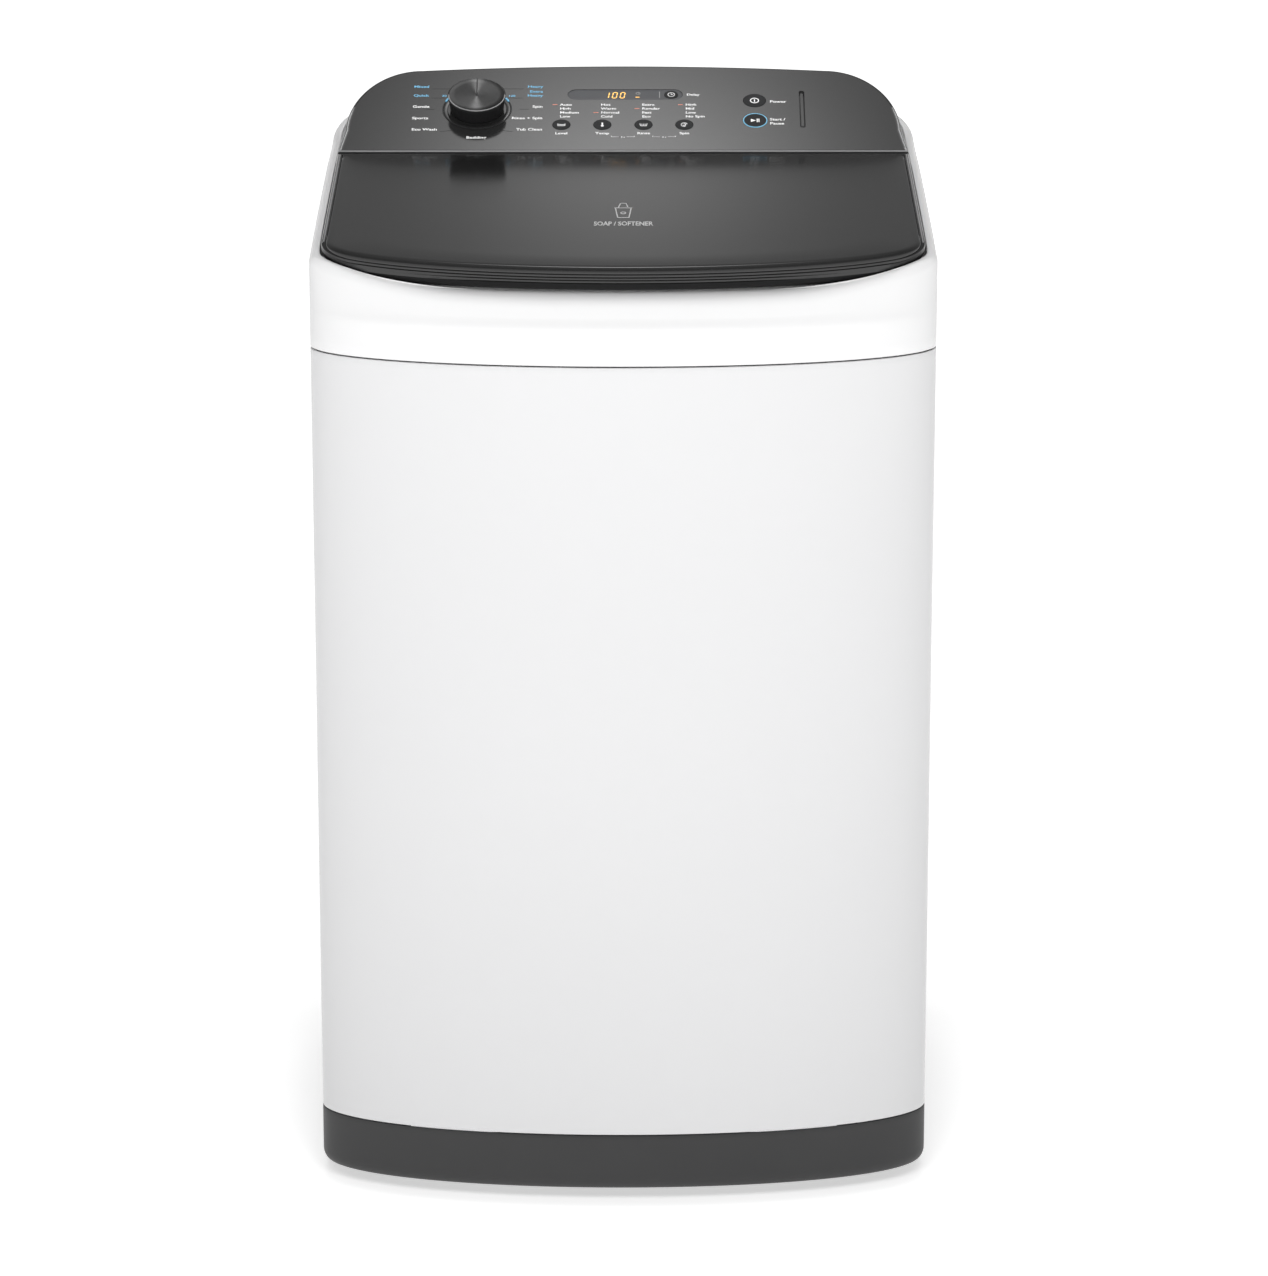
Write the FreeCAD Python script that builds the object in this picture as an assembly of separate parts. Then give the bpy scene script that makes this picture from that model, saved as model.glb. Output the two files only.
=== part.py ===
import FreeCAD, Part
import math
import os

from FreeCAD import Placement, Rotation, Vector

# Top load washing machine, millimetres. +Z is up, the front faces -Y and +X is the user's right.
# The origin is on the floor, under the middle of the machine.

# Overall plan: bowed front, straight sides, rounded rear corners.
HALF = 295.0            # half of the width
FRONT = -300.0          # furthest forward point of the bowed front
REAR = 285.0            # rear face of the cabinet
OUTLET_Y = 300.0        # ends of the water connections, behind the rear face
BOW = 90.0              # how far the front bows forward of the straight sides
CORNER = 45.0           # radius of the rear corners

# Heights
PLINTH_Z = 14.0         # lower edge of the base
PLINTH_TUCK = 6.0       # bevel round its lower edge
SHELL_Z = 74.0          # base to cabinet
SEAM_Z = 834.0          # cabinet to top cover
BREAK_Z = 870.0         # where the cover's front starts to lean back
LEAN = 12.0             # how far it leans back over LEAN_RISE
LEAN_RISE = 27.0
COVER_TOP = 985.0

SHEET = 1.0             # steel sheet
WALL = 3.0              # moulded walls

# Lid: a plate that slopes down to the front
LID_SLOPE = math.tan(math.radians(3.88))
LID_Y, LID_Z = -200.0, 932.0      # a point on its top face
LID_HALF = 284.0
LID_FRONT = -289.0
LID_BOW = 92.0
LID_REAR = 122.0
LID_DEPTH = 13.0                  # depth of the skirt
LIP_DEPTH = 25.5                  # depth of the front lip
PANEL_INSET = 5.0
PANEL_DEPTH = 3.0
PIVOT_Y, PIVOT_Z = 118.5, 949.0   # lid hinge
HINGE_X = 230.0
PIN_R = 2.5
RUN = 0.05                        # radial clearance of a running fit

# Top cover
RIM_INNER = 286.0       # inside of the rim beside the lid
LEDGE = 30.0            # gutter, below the lid's top face
DECK = 16.0             # deck, below the lid's top face
DECK_HALF = 268.0
DECK_FRONT = -264.0
DECK_REAR = 100.0
MOUTH_R = 168.0
MOUTH_Y = -68.0
COLLAR_Z = 822.0
SHELF_Z = 944.0         # where the console stands

# Console: a plate rising towards the back
CONSOLE_Y, CONSOLE_Z = 125.2, 954.4
CONSOLE_TILT = 24.5
KNOB_U, KNOB_V = -147.0, 74.0
KNOB_BASE_R, KNOB_FACE_R = 26.8, 29.0
KNOB_W0, KNOB_W1 = 1.5, 18.0
BUTTONS = {             # across, up the slope, radius
    "power_button": (132.3, 89.0, 11.3),
    "start_button": (132.4, 54.3, 12.0),
    "water_level_button": (-62.0, 47.0, 8.8),
    "temperature_button": (-21.0, 47.0, 8.8),
    "rinse_button": (20.3, 47.0, 8.8),
    "spin_button": (61.2, 47.0, 8.8),
    "delay_button": (48.4, 99.6, 6.8),
}
BUTTON_GAP = 0.3
BOARD_W = -22.4         # upper face of the circuit board, below the console's face
DISPLAY = (-56.0, 60.0, 90.4, 108.8)
GROOVE = (180.0, 41.7, 106.3, 5.5)

# Dispenser drawer
DRAWER_HALF = 70.0
DRAWER_Y0, DRAWER_Y1 = 96.0, 226.0
DRAWER_Z0, DRAWER_Z1 = 880.0, 914.0

# Washing unit
TUB_Y = -30.0           # axis of the tub
TUB_R = 250.0
TUB_Z0, TUB_Z1 = 250.0, 790.0
BASKET_R = 228.0
BASKET_Z0, BASKET_Z1 = 285.0, 735.0
RING_Z1 = 775.0
RING_INNER = 200.0
PULSATOR_R = 165.0
SPIN_SHAFT_R, WASH_SHAFT_R = 16.0, 9.0
SHAFT_Z = 246.0
PULLEY_R, MOTOR_PULLEY_R = 82.0, 22.0
BELT_Z0, BELT_Z1 = 128.0, 138.0
BELT_GAP, BELT_THICK = 0.3, 4.0
MOTOR_Y = TUB_Y + 150.0

# Suspension and feet
ROD_X, ROD_DY = 225.0, 205.0
ROD_R = 4.0
CAP_Z, LUG_Z, HANG_Z = 302.0, 345.0, 786.0
FOOT_X, FOOT_FRONT_Y, FOOT_REAR_Y = 235.0, -195.0, 235.0
STUD_R = 5.0
SOCKET_Z0, SOCKET_Z1 = 18.0, 45.0

# Connections at the back
VALVE_X = {"inlet_valve_cold": 150.0, "inlet_valve_hot": 205.0}
VALVE_Z, VALVE_R = 888.0, 13.2
DRAIN_X, DRAIN_Z, DRAIN_R = -170.0, 130.0, 13.5
COLLAR_R = 16.0         # collar behind each spigot, in its hole in the casing
GLAND_X, GLAND_Z, GLAND_BORE = 190.0, 150.0, 4.2
WINDOW_X, WINDOW_Z0, WINDOW_Z1 = 235.0, 90.0, 820.0


# ---- small shapes -------------------------------------------------------------------------------

def box(x0, x1, y0, y1, z0, z1):
    return Part.makeBox(x1 - x0, y1 - y0, z1 - z0, Vector(x0, y0, z0))


def cyl(r, x, y, z0, z1):
    return Part.makeCylinder(r, z1 - z0, Vector(x, y, z0))


def cyl_y(r, x, z, y0, y1):
    return Part.makeCylinder(r, y1 - y0, Vector(x, y0, z), Vector(0, 1, 0))


def cyl_x(r, y, z, x0, x1):
    return Part.makeCylinder(r, x1 - x0, Vector(x0, y, z), Vector(1, 0, 0))


def tube(outer, inner, x, y, z0, z1):
    return cyl(outer, x, y, z0, z1).cut(cyl(inner, x, y, z0 - 1, z1 + 1))


def join(shapes):
    whole = shapes[0].fuse(shapes[1:]) if len(shapes) > 1 else shapes[0]
    return whole.removeSplitter()


def hexagon(across, x, y, z0, z1):
    r = across / math.sqrt(3)
    turn = [math.radians(60 * i) for i in range(7)]
    points = [Vector(x + r * math.cos(a), y + r * math.sin(a), z0) for a in turn]
    return Part.Face(Part.makePolygon(points)).extrude(Vector(0, 0, z1 - z0))


def outline(half, front, bow, rear, corner, z):
    """Plan outline at height z: half an ellipse in front, straight sides, rounded rear corners."""
    side = front + bow
    ellipse = Part.Ellipse(Vector(0, side, z), half, bow)
    edges = [Part.Arc(ellipse, math.pi, 2 * math.pi).toShape()]
    flat = half - corner
    edges.append(Part.makeLine(Vector(half, side, z), Vector(half, rear - corner, z)))
    near = corner * (1 - math.sqrt(0.5))
    for s in (1, -1):
        ends = [Vector(s * half, rear - corner, z), Vector(s * flat, rear, z)]
        middle = Vector(s * (half - near), rear - near, z)
        if s < 0:
            ends.reverse()
        edges.append(Part.Arc(ends[0], middle, ends[1]).toShape())
        if s > 0:
            edges.append(Part.makeLine(Vector(flat, rear, z), Vector(-flat, rear, z)))
    edges.append(Part.makeLine(Vector(-half, rear - corner, z), Vector(-half, side, z)))
    return Part.Wire(edges)


def plan_prism(inset, z0, z1, rear=REAR, corner=CORNER):
    wire = outline(HALF - inset, FRONT + inset, BOW - inset, rear - inset, corner - inset, z0)
    return Part.Face(wire).extrude(Vector(0, 0, z1 - z0))


def lid_z(y, below=0.0):
    return LID_Z + (y - LID_Y) * LID_SLOPE - below


def side_profile(points, half=HALF + 10):
    """A closed outline of (y, z) points, as thick as the machine is wide."""
    wire = Part.makePolygon([Vector(-half, y, z) for y, z in points + points[:1]])
    return Part.Face(wire).extrude(Vector(2 * half, 0, 0))


def lid_slab(low, high, y0=-320.0, y1=320.0):
    """The space from low to high below the lid's top face."""
    points = [(y0, lid_z(y0, low)), (y1, lid_z(y1, low)), (y1, lid_z(y1, high)), (y0, lid_z(y0, high))]
    return side_profile(points)


def lid_prism(inset, corner=4.0):
    wire = outline(LID_HALF - inset, LID_FRONT + inset, LID_BOW - inset, LID_REAR - inset, corner, 880)
    return Part.Face(wire).extrude(Vector(0, 0, 100))


# ---- console plane ------------------------------------------------------------------------------

def on_console(shape):
    """Moves a shape drawn flat (across, up the slope, out of the face) on to the sloping console."""
    shape.Placement = Placement(
        Vector(0, CONSOLE_Y, CONSOLE_Z), Rotation(Vector(1, 0, 0), CONSOLE_TILT)
    ).multiply(shape.Placement)
    return shape


def console_face(inset):
    """The console's outline: sides that lean in, elliptical shoulders and a slightly bowed top."""
    low, side, rise = 284.0 - inset, 278.0 - inset, 38.0
    shoulder, reach, top = 204.0, 105.0 - inset, 151.0 - inset
    edges = [Part.makeLine(Vector(-low, inset, 0), Vector(low, inset, 0))]
    for s in (1, -1):
        edges.append(Part.makeLine(Vector(s * low, inset, 0), Vector(s * side, rise, 0)))
        ellipse = Part.Ellipse(
            Vector(s * shoulder, rise + reach, 0), Vector(s * side, rise, 0), Vector(s * shoulder, rise, 0)
        )
        edges.append(Part.Arc(ellipse, 0, math.pi / 2).toShape())
    ends = [Vector(s * shoulder, rise + reach, 0) for s in (1, -1)]
    edges.append(Part.Arc(ends[0], Vector(0, top, 0), ends[1]).toShape())
    return Part.Face(Part.Wire(Part.__sortEdges__(edges)))


def pill(x0, x1, y0, y1, z0, z1):
    """A bar with round ends, its long side along x or y."""
    r = min(x1 - x0, y1 - y0) / 2
    ends = {(x0 + r, y0 + r), (x1 - r, y1 - r)}
    if x1 - x0 > y1 - y0:
        middle = box(x0 + r, x1 - r, y0, y1, z0, z1)
    else:
        middle = box(x0, x1, y0 + r, y1 - r, z0, z1)
    return join([middle] + [cyl(r, x, y, z0, z1) for x, y in sorted(ends)])


# ---- cabinet ------------------------------------------------------------------------------------

def screw_places():
    x = WINDOW_X + 5
    return [(s * x, z) for s in (1, -1) for z in (130, 350, 570, 790)]


def cabinet_shell():
    shell = plan_prism(0, SHELL_Z, SEAM_Z).cut(plan_prism(SHEET, SHELL_Z - 1, SEAM_Z + 1))
    window = box(-WINDOW_X, WINDOW_X, REAR - 10, REAR + 10, WINDOW_Z0, WINDOW_Z1)
    holes = [cyl_y(1.9, x, z, REAR - 10, REAR + 10) for x, z in screw_places()]
    return shell.cut([window] + holes)


def rear_panel():
    y1 = REAR - SHEET
    panel = box(-WINDOW_X - 10, WINDOW_X + 10, y1 - SHEET, y1, SHELL_Z + 6, SEAM_Z - 4)
    holes = [cyl_y(1.9, x, z, REAR - 10, REAR + 10) for x, z in screw_places()]
    holes.append(cyl_y(COLLAR_R + 0.5, DRAIN_X, DRAIN_Z, REAR - 10, REAR + 10))
    holes.append(cyl_y(9.0, GLAND_X, GLAND_Z, REAR - 10, REAR + 10))
    return panel.cut(holes)


def rear_panel_screws():
    heads = []
    for x, z in screw_places():
        head = cyl_y(4.5, x, z, REAR, REAR + 2.2)
        heads.append(join([head, cyl_y(1.8, x, z, REAR - 8, REAR + 1)]))
    return Part.makeCompound(heads)


def foot_places():
    return {
        "foot_front_left": (-FOOT_X, FOOT_FRONT_Y),
        "foot_front_right": (FOOT_X, FOOT_FRONT_Y),
        "foot_rear_left": (-FOOT_X, FOOT_REAR_Y),
        "foot_rear_right": (FOOT_X, FOOT_REAR_Y),
    }


def base_plinth():
    rings = []
    for inset, z in ((PLINTH_TUCK, PLINTH_Z), (0, PLINTH_Z + PLINTH_TUCK)):
        wire = outline(HALF - inset, FRONT + inset, BOW - inset, REAR - inset, CORNER - inset, z)
        rings.append(wire)
    outer = join([Part.makeLoft(rings, True, True), plan_prism(0, PLINTH_Z + PLINTH_TUCK, SHELL_Z)])
    wall = outer.cut(plan_prism(WALL, PLINTH_Z - 1, SHELL_Z - 4))
    wall = wall.cut(plan_prism(24, SHELL_Z - 5, SHELL_Z + 1))
    plate = plan_prism(WALL - 1, 40, 44).cut(plan_prism(85, 39, 45, corner=97))
    sockets = [cyl(16, x, y, SOCKET_Z0, SOCKET_Z1) for x, y in foot_places().values()]
    bores = [cyl(STUD_R + RUN, x, y, 0, SHELL_Z) for x, y in foot_places().values()]
    return join([wall, plate] + sockets).cut(bores)


def foot(x, y):
    pad = cyl(20, x, y, 0, 4).fuse(Part.makeCone(20, 13, 5, Vector(x, y, 4)))
    return join([pad, cyl(STUD_R, x, y, 8, 58)])


def foot_lock_nuts():
    nuts = []
    for x, y in foot_places().values():
        nuts.append(hexagon(17, x, y, 12, SOCKET_Z0).cut(cyl(STUD_R + RUN, x, y, 0, 30)))
    return Part.makeCompound(nuts)


# ---- top cover ----------------------------------------------------------------------------------

def cover_body(inset, top):
    """The cover's outer form, or its hollow when inset: upright below, leaning back in front above."""
    lean = LEAN * (COVER_TOP - BREAK_Z) / LEAN_RISE
    rings = []
    for z, back in ((BREAK_Z, 0), (COVER_TOP, lean)):
        front, bow = FRONT + inset + back, BOW - inset - back
        rings.append(outline(HALF - inset, front, bow, REAR - inset, CORNER - inset, z))
    lower = plan_prism(inset, SEAM_Z, BREAK_Z)
    upper = Part.makeLoft(rings, True, True)
    return join([lower, upper]).common(top)


def rim_profile():
    floor, y0, y1 = SEAM_Z - 1, FRONT - 5, REAR + 5
    rim = [(y0, 895.4), (-205, 909), (-163, 922), (-112, 931), (124, 945), (235, 949), (272, 966), (y1, 967)]
    return side_profile([(y0, floor)] + rim + [(y1, floor)])


def deck_prism(inset):
    side = DECK_FRONT + 84
    bow = side - DECK_FRONT - inset
    wire = outline(DECK_HALF - inset, DECK_FRONT + inset, bow, DECK_REAR - inset, 12, 850)
    return Part.Face(wire).extrude(Vector(0, 0, 120))


def top_cover():
    well = outline(RIM_INNER, FRONT - 6, BOW, CONSOLE_Y - 1.2, 2, 850)
    well = Part.Face(well).extrude(Vector(0, 0, 150)).common(lid_slab(LEDGE, -60))
    shelf = outline(RIM_INNER, 60, 20, 264, CORNER, SHELF_Z)
    shelf = Part.Face(shelf).extrude(Vector(0, 0, 60)).cut(box(-300, 300, 0, CONSOLE_Y - 1.2, 900, 1100))
    body = cover_body(0, rim_profile()).cut([well, shelf])
    deck = deck_prism(0).common(lid_slab(LEDGE + 5, DECK))
    body = join([body, deck])

    hollow_top = side_profile(
        [(-320, SEAM_Z - 1), (320, SEAM_Z - 1), (320, SHELF_Z - WALL), (CONSOLE_Y + 2, SHELF_Z - WALL),
         (CONSOLE_Y + 2, lid_z(CONSOLE_Y, LEDGE + WALL)), (-320, lid_z(-320, LEDGE + WALL))]
    )
    under_deck = deck_prism(WALL).common(lid_slab(LEDGE + 12, DECK + WALL))
    body = body.cut([cover_body(WALL, hollow_top), under_deck])

    mouth = cyl(MOUTH_R, 0, MOUTH_Y, 700, 1000)
    collar = tube(MOUTH_R + WALL, MOUTH_R, 0, MOUTH_Y, COLLAR_Z, 1000).common(lid_slab(200, DECK))
    body = join([body.cut(mouth), collar])
    slot = box(-DRAWER_HALF - 2, DRAWER_HALF + 2, 60, 112, DRAWER_Z0 - 2, DRAWER_Z1 + 2)
    holes = [cyl_y(COLLAR_R + 0.5, x, VALVE_Z, REAR - 10, REAR + 10) for x in VALVE_X.values()]
    return body.cut([slot] + holes)


# ---- lid ----------------------------------------------------------------------------------------

def hinge_pockets():
    """Room in the lid for the two hinge ears."""
    top = lid_z(PIVOT_Y) - 0.7
    return [box(s * HINGE_X - 16, s * HINGE_X + 16, 108, 130, 900, top) for s in (1, -1)]


def lid_frame():
    ring = lid_prism(0).common(lid_slab(LID_DEPTH, 0))
    tips = []
    for z, inset in ((899.0, 7.0), (935.0, -2.33)):
        tips.append(outline(LID_HALF - inset, LID_FRONT + inset, LID_BOW - inset, -160, 1, z))
    lip_side = [(-300, LIP_DEPTH), (-225, LIP_DEPTH), (-165, LID_DEPTH), (-165, 0), (-300, 0)]
    lip_space = side_profile([(y, lid_z(y, d)) for y, d in lip_side])
    lip = Part.makeLoft(tips, True, True).common(lid_prism(0)).common(lip_space)
    frame = join([ring, lip]).cut(lid_prism(10).common(lid_slab(40, PANEL_DEPTH - 1)))
    frame = frame.cut(lid_prism(PANEL_INSET).common(lid_slab(PANEL_DEPTH, -5)))
    return frame.cut(hinge_pockets())


def lid_panel():
    return lid_prism(PANEL_INSET + 0.2).common(lid_slab(PANEL_DEPTH, 0)).cut(hinge_pockets())


def lid_liner():
    plate = lid_prism(10).common(lid_slab(LID_DEPTH, LID_DEPTH - 2.5))
    seat = lid_prism(12).common(lid_slab(LID_DEPTH - 1, PANEL_DEPTH))
    return join([plate, seat.cut(lid_prism(15).common(lid_slab(LID_DEPTH, 0)))]).cut(hinge_pockets())


def lid_hinge_knuckles():
    parts = []
    for s in (1, -1):
        for x0, x1 in ((-16, -4.5), (4.5, 16)):
            boss = cyl_x(3.6, PIVOT_Y, PIVOT_Z, s * HINGE_X + x0, s * HINGE_X + x1)
            arm = box(s * HINGE_X + x0, s * HINGE_X + x1, 108, PIVOT_Y, PIVOT_Z - 3, PIVOT_Z + 3)
            bore = cyl_x(PIN_R, PIVOT_Y, PIVOT_Z, s * HINGE_X - 20, s * HINGE_X + 20)
            parts.append(join([boss, arm]).cut(bore))
    return Part.makeCompound(parts)


def hinge_pins():
    pins = [cyl_x(PIN_R, PIVOT_Y, PIVOT_Z, s * HINGE_X - 15, s * HINGE_X + 15) for s in (1, -1)]
    return Part.makeCompound(pins)


def hinge_brackets():
    parts = []
    for s in (1, -1):
        x0, x1 = s * HINGE_X - 4, s * HINGE_X + 4
        foot_plate = box(s * HINGE_X - 18, s * HINGE_X + 18, 104, CONSOLE_Y - 1.7, 900, 960)
        foot_plate = foot_plate.common(lid_slab(LEDGE, LEDGE - 4))
        neck = box(x0, x1, PIVOT_Y - 3.4, PIVOT_Y + 3.4, 900, PIVOT_Z)
        neck = neck.common(lid_slab(LEDGE - 3, 0))
        ear = cyl_x(3.6, PIVOT_Y, PIVOT_Z, x0, x1)
        parts.append(join([foot_plate, neck, ear]).cut(cyl_x(PIN_R + RUN, PIVOT_Y, PIVOT_Z, x0 - 1, x1 + 1)))
    return Part.makeCompound(parts)


def lid_switch():
    return box(-205, -181, 40, 74, 880, 960).common(lid_slab(DECK + WALL + 16, DECK + WALL))


# ---- console ------------------------------------------------------------------------------------

def console_body():
    outer = on_console(console_face(0)).extrude(Vector(0, 0, -140))
    inner = on_console(console_face(2.5)).extrude(Vector(0, 0, -150))
    hood = outer.cut(inner).common(box(-300, 300, 0, 300, SHELF_Z, 1100))
    plate_space = on_console(box(-300, 300, -20, 170, -WALL, 20))
    return hood.cut(plate_space)


def console_fascia():
    plate = console_face(0).extrude(Vector(0, 0, -WALL))
    holes = [cyl(r + BUTTON_GAP, x, y, -10, 10) for x, y, r in BUTTONS.values()]
    x0, x1, y0, y1 = DISPLAY
    holes.append(pill(x0, x1, y0, y1, -10, 10))
    x, y0, y1, width = GROOVE
    holes.append(pill(x - width / 2, x + width / 2, y0, y1, -10, 10))
    holes.append(cyl(5, KNOB_U, KNOB_V, -10, 10))
    posts = [cyl(4, x, y, BOARD_W, -WALL) for x in (-190, 100) for y in (32, 124)]
    return on_console(join([plate.cut(holes)] + posts))


def knob_bezel():
    return on_console(tube(34.5, 29.2, KNOB_U, KNOB_V, 0, 0.8))


def display_window():
    x0, x1, y0, y1 = DISPLAY
    x, y, r = BUTTONS["delay_button"]
    return on_console(pill(x0, x1, y0, y1, -WALL, -0.2).cut(cyl(r + BUTTON_GAP, x, y, -10, 10)))


def display_module():
    x0, x1, y0, y1 = DISPLAY
    return on_console(box(x0, x1 - 25, y0, y1, BOARD_W, -WALL))


def groove_insert():
    x, y0, y1, width = GROOVE
    return on_console(pill(x - width / 2, x + width / 2, y0, y1, -WALL, -1.8))


def control_board():
    """The circuit board with a small push switch soldered under each button."""
    board = box(-200, 190, 30, 128, BOARD_W - 1.6, BOARD_W)
    switches = [box(x - 4, x + 4, y - 4, y + 4, BOARD_W, BOARD_W + 8) for x, y, _ in BUTTONS.values()]
    return on_console(join([board] + switches))


def encoder():
    body = box(KNOB_U - 13, KNOB_U + 13, KNOB_V - 13, KNOB_V + 13, BOARD_W, -9)
    return on_console(body.cut(cyl(3 + RUN, KNOB_U, KNOB_V, BOARD_W + 3, 10)))


def button(x, y, r):
    cap = cyl(r, x, y, -5, 0.3)
    flange = cyl(r + 1.4, x, y, -5, -WALL - 0.4)
    stem = cyl(2.5, x, y, -12.6, -4)
    return on_console(join([cap, flange, stem]))


def knob():
    grip = Part.makeCone(KNOB_BASE_R, KNOB_FACE_R, KNOB_W1 - KNOB_W0, Vector(KNOB_U, KNOB_V, KNOB_W0))
    return on_console(grip.cut(cyl(3, KNOB_U, KNOB_V, 0, 13)))


def knob_shaft():
    return on_console(cyl(3, KNOB_U, KNOB_V, -18, 13))


# ---- water connections and dispenser ------------------------------------------------------------

def inlet_valve(x):
    body = box(x - 17, x + 17, 236, REAR - WALL - 12, VALVE_Z - 19, VALVE_Z + 19)
    flange = cyl_y(18, x, VALVE_Z, REAR - WALL - 12, REAR - WALL)
    collar = cyl_y(COLLAR_R, x, VALVE_Z, REAR - WALL, REAR)
    spigot = cyl_y(VALVE_R, x, VALVE_Z, REAR, OUTLET_Y)
    return join([body, flange, collar, spigot]).cut(cyl_y(9, x, VALVE_Z, REAR - 14, OUTLET_Y + 1))


def drain_pump():
    body = cyl_y(30, DRAIN_X, DRAIN_Z, 190, 262)
    foot_block = box(DRAIN_X - 24, DRAIN_X + 24, 196, 256, SHELL_Z, DRAIN_Z)
    collar = cyl_y(COLLAR_R, DRAIN_X, DRAIN_Z, 262, REAR)
    spigot = cyl_y(DRAIN_R, DRAIN_X, DRAIN_Z, REAR, OUTLET_Y)
    stand = box(DRAIN_X - 30, DRAIN_X + 30, 190, 262, SHELL_Z, SHELL_Z + 5)
    bore = cyl_y(10.5, DRAIN_X, DRAIN_Z, 255, OUTLET_Y + 1)
    return join([body, foot_block, collar, spigot, stand]).cut(bore)


def cord_gland():
    flange = cyl_y(14, GLAND_X, GLAND_Z, REAR - SHEET, REAR + 4)
    barrel = cyl_y(9, GLAND_X, GLAND_Z, REAR - 9, REAR)
    return join([flange, barrel]).cut(cyl_y(GLAND_BORE, GLAND_X, GLAND_Z, REAR - 20, REAR + 20))


def pressure_sensor():
    x = SHEET - HALF
    return box(x, x + 26, 60, 100, 640, 680)


def dispenser_housing():
    outer = box(-76, 76, 106, 236, 875, 919)
    return outer.cut(box(-72, 72, 100, 233, 878, 916))


def dispenser_drawer():
    outer = box(-DRAWER_HALF, DRAWER_HALF, DRAWER_Y0, DRAWER_Y1, DRAWER_Z0, DRAWER_Z1)
    cells = []
    for x0, x1 in ((-DRAWER_HALF + 2, 8), (10, DRAWER_HALF - 2)):
        cells.append(box(x0, x1, DRAWER_Y0 + 4, DRAWER_Y1 - 2, DRAWER_Z0 + 2, DRAWER_Z1 + 5))
    return outer.cut(cells)


# ---- suspension ---------------------------------------------------------------------------------

def rod_places():
    return [(sx * ROD_X, TUB_Y + sy * ROD_DY) for sx in (1, -1) for sy in (1, -1)]


def corner_brackets():
    inside = plan_prism(SHEET, HANG_Z - 40, HANG_Z + 10)
    parts = []
    for x, y in rod_places():
        s = 1 if x > 0 else -1
        reach = sorted((x - s * 26, s * HALF))
        plate = box(reach[0], reach[1], y - 30, y + 30, HANG_Z, HANG_Z + 4)
        rib = sorted((s * (HALF - 20), s * HALF))
        web = box(rib[0], rib[1], y - 30, y + 30, HANG_Z - 30, HANG_Z + 1)
        parts.append(join([plate, web]).common(inside).cut(cyl(ROD_R + 1, x, y, HANG_Z - 5, HANG_Z + 9)))
    return Part.makeCompound(parts)


def suspension_rods():
    rods = []
    for x, y in rod_places():
        shank = cyl(ROD_R, x, y, CAP_Z - 6, HANG_Z + 8)
        rods.append(join([shank, cyl(9, x, y, HANG_Z + 4, HANG_Z + 12), cyl(14, x, y, CAP_Z - 6, CAP_Z)]))
    return Part.makeCompound(rods)


def suspension_springs():
    return Part.makeCompound([tube(11, 7, x, y, CAP_Z, LUG_Z) for x, y in rod_places()])


# ---- tub, drive, basket and pulsator ------------------------------------------------------------

def outer_tub():
    body = tube(TUB_R, TUB_R - WALL, 0, TUB_Y, TUB_Z0, TUB_Z1)
    floor = cyl(TUB_R, 0, TUB_Y, TUB_Z0, TUB_Z0 + 5)
    arms = []
    for x, y in rod_places():
        turn = math.degrees(math.atan2(y - TUB_Y, x))
        reach = math.hypot(x, y - TUB_Y)
        arm = box(TUB_R - 2, reach, -12, 12, LUG_Z, LUG_Z + 12)
        arm.Placement = Placement(Vector(0, TUB_Y, 0), Rotation(Vector(0, 0, 1), turn))
        arms.append(arm)
        arms.append(cyl(18, x, y, LUG_Z, LUG_Z + 12))
    holes = [cyl(6, x, y, LUG_Z - 5, LUG_Z + 20) for x, y in rod_places()]
    return join([body, floor] + arms).cut(holes + [cyl(32, 0, TUB_Y, TUB_Z0 - 5, TUB_Z0 + 20)])


def tub_cover_ring():
    top = tube(TUB_R + 3, RING_INNER + 8, 0, TUB_Y, TUB_Z1, TUB_Z1 + 5)
    skirt = tube(TUB_R + 3, TUB_R, 0, TUB_Y, TUB_Z1 - 18, TUB_Z1 + 5)
    inner = tube(RING_INNER + 10.5, RING_INNER + 8, 0, TUB_Y, RING_Z1 + 4, TUB_Z1 + 5)
    return join([top, skirt, inner])


def tub_bearing():
    return tube(32, SPIN_SHAFT_R + RUN, 0, TUB_Y, TUB_Z0 - 4, TUB_Z0 + 10)


def drive_frame():
    disc = cyl(150, 0, TUB_Y, TUB_Z0 - 6, TUB_Z0)
    arm = box(-62, 62, TUB_Y, MOTOR_Y + 62, TUB_Z0 - 6, TUB_Z0)
    return join([disc, arm]).cut(cyl(32, 0, TUB_Y, TUB_Z0 - 10, TUB_Z0 + 5))


def gearbox():
    case = cyl(62, 0, TUB_Y, 152, TUB_Z0 - 6)
    return case.cut(cyl(8 + RUN, 0, TUB_Y, 140, 190))


def motor():
    case = cyl(55, 0, MOTOR_Y, 152, TUB_Z0 - 6)
    return case.cut(cyl(6 + RUN, 0, MOTOR_Y, 140, 190))


def pulley(y, r, shaft_r):
    z0, z1 = BELT_Z0 - 3, BELT_Z1 + 3
    cheeks = [cyl(r + 5, 0, y, z0, z0 + 2), cyl(r + 5, 0, y, z1 - 2, z1)]
    return join([cyl(r, 0, y, z0, z1), cyl(shaft_r, 0, y, z0, 188)] + cheeks)


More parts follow.
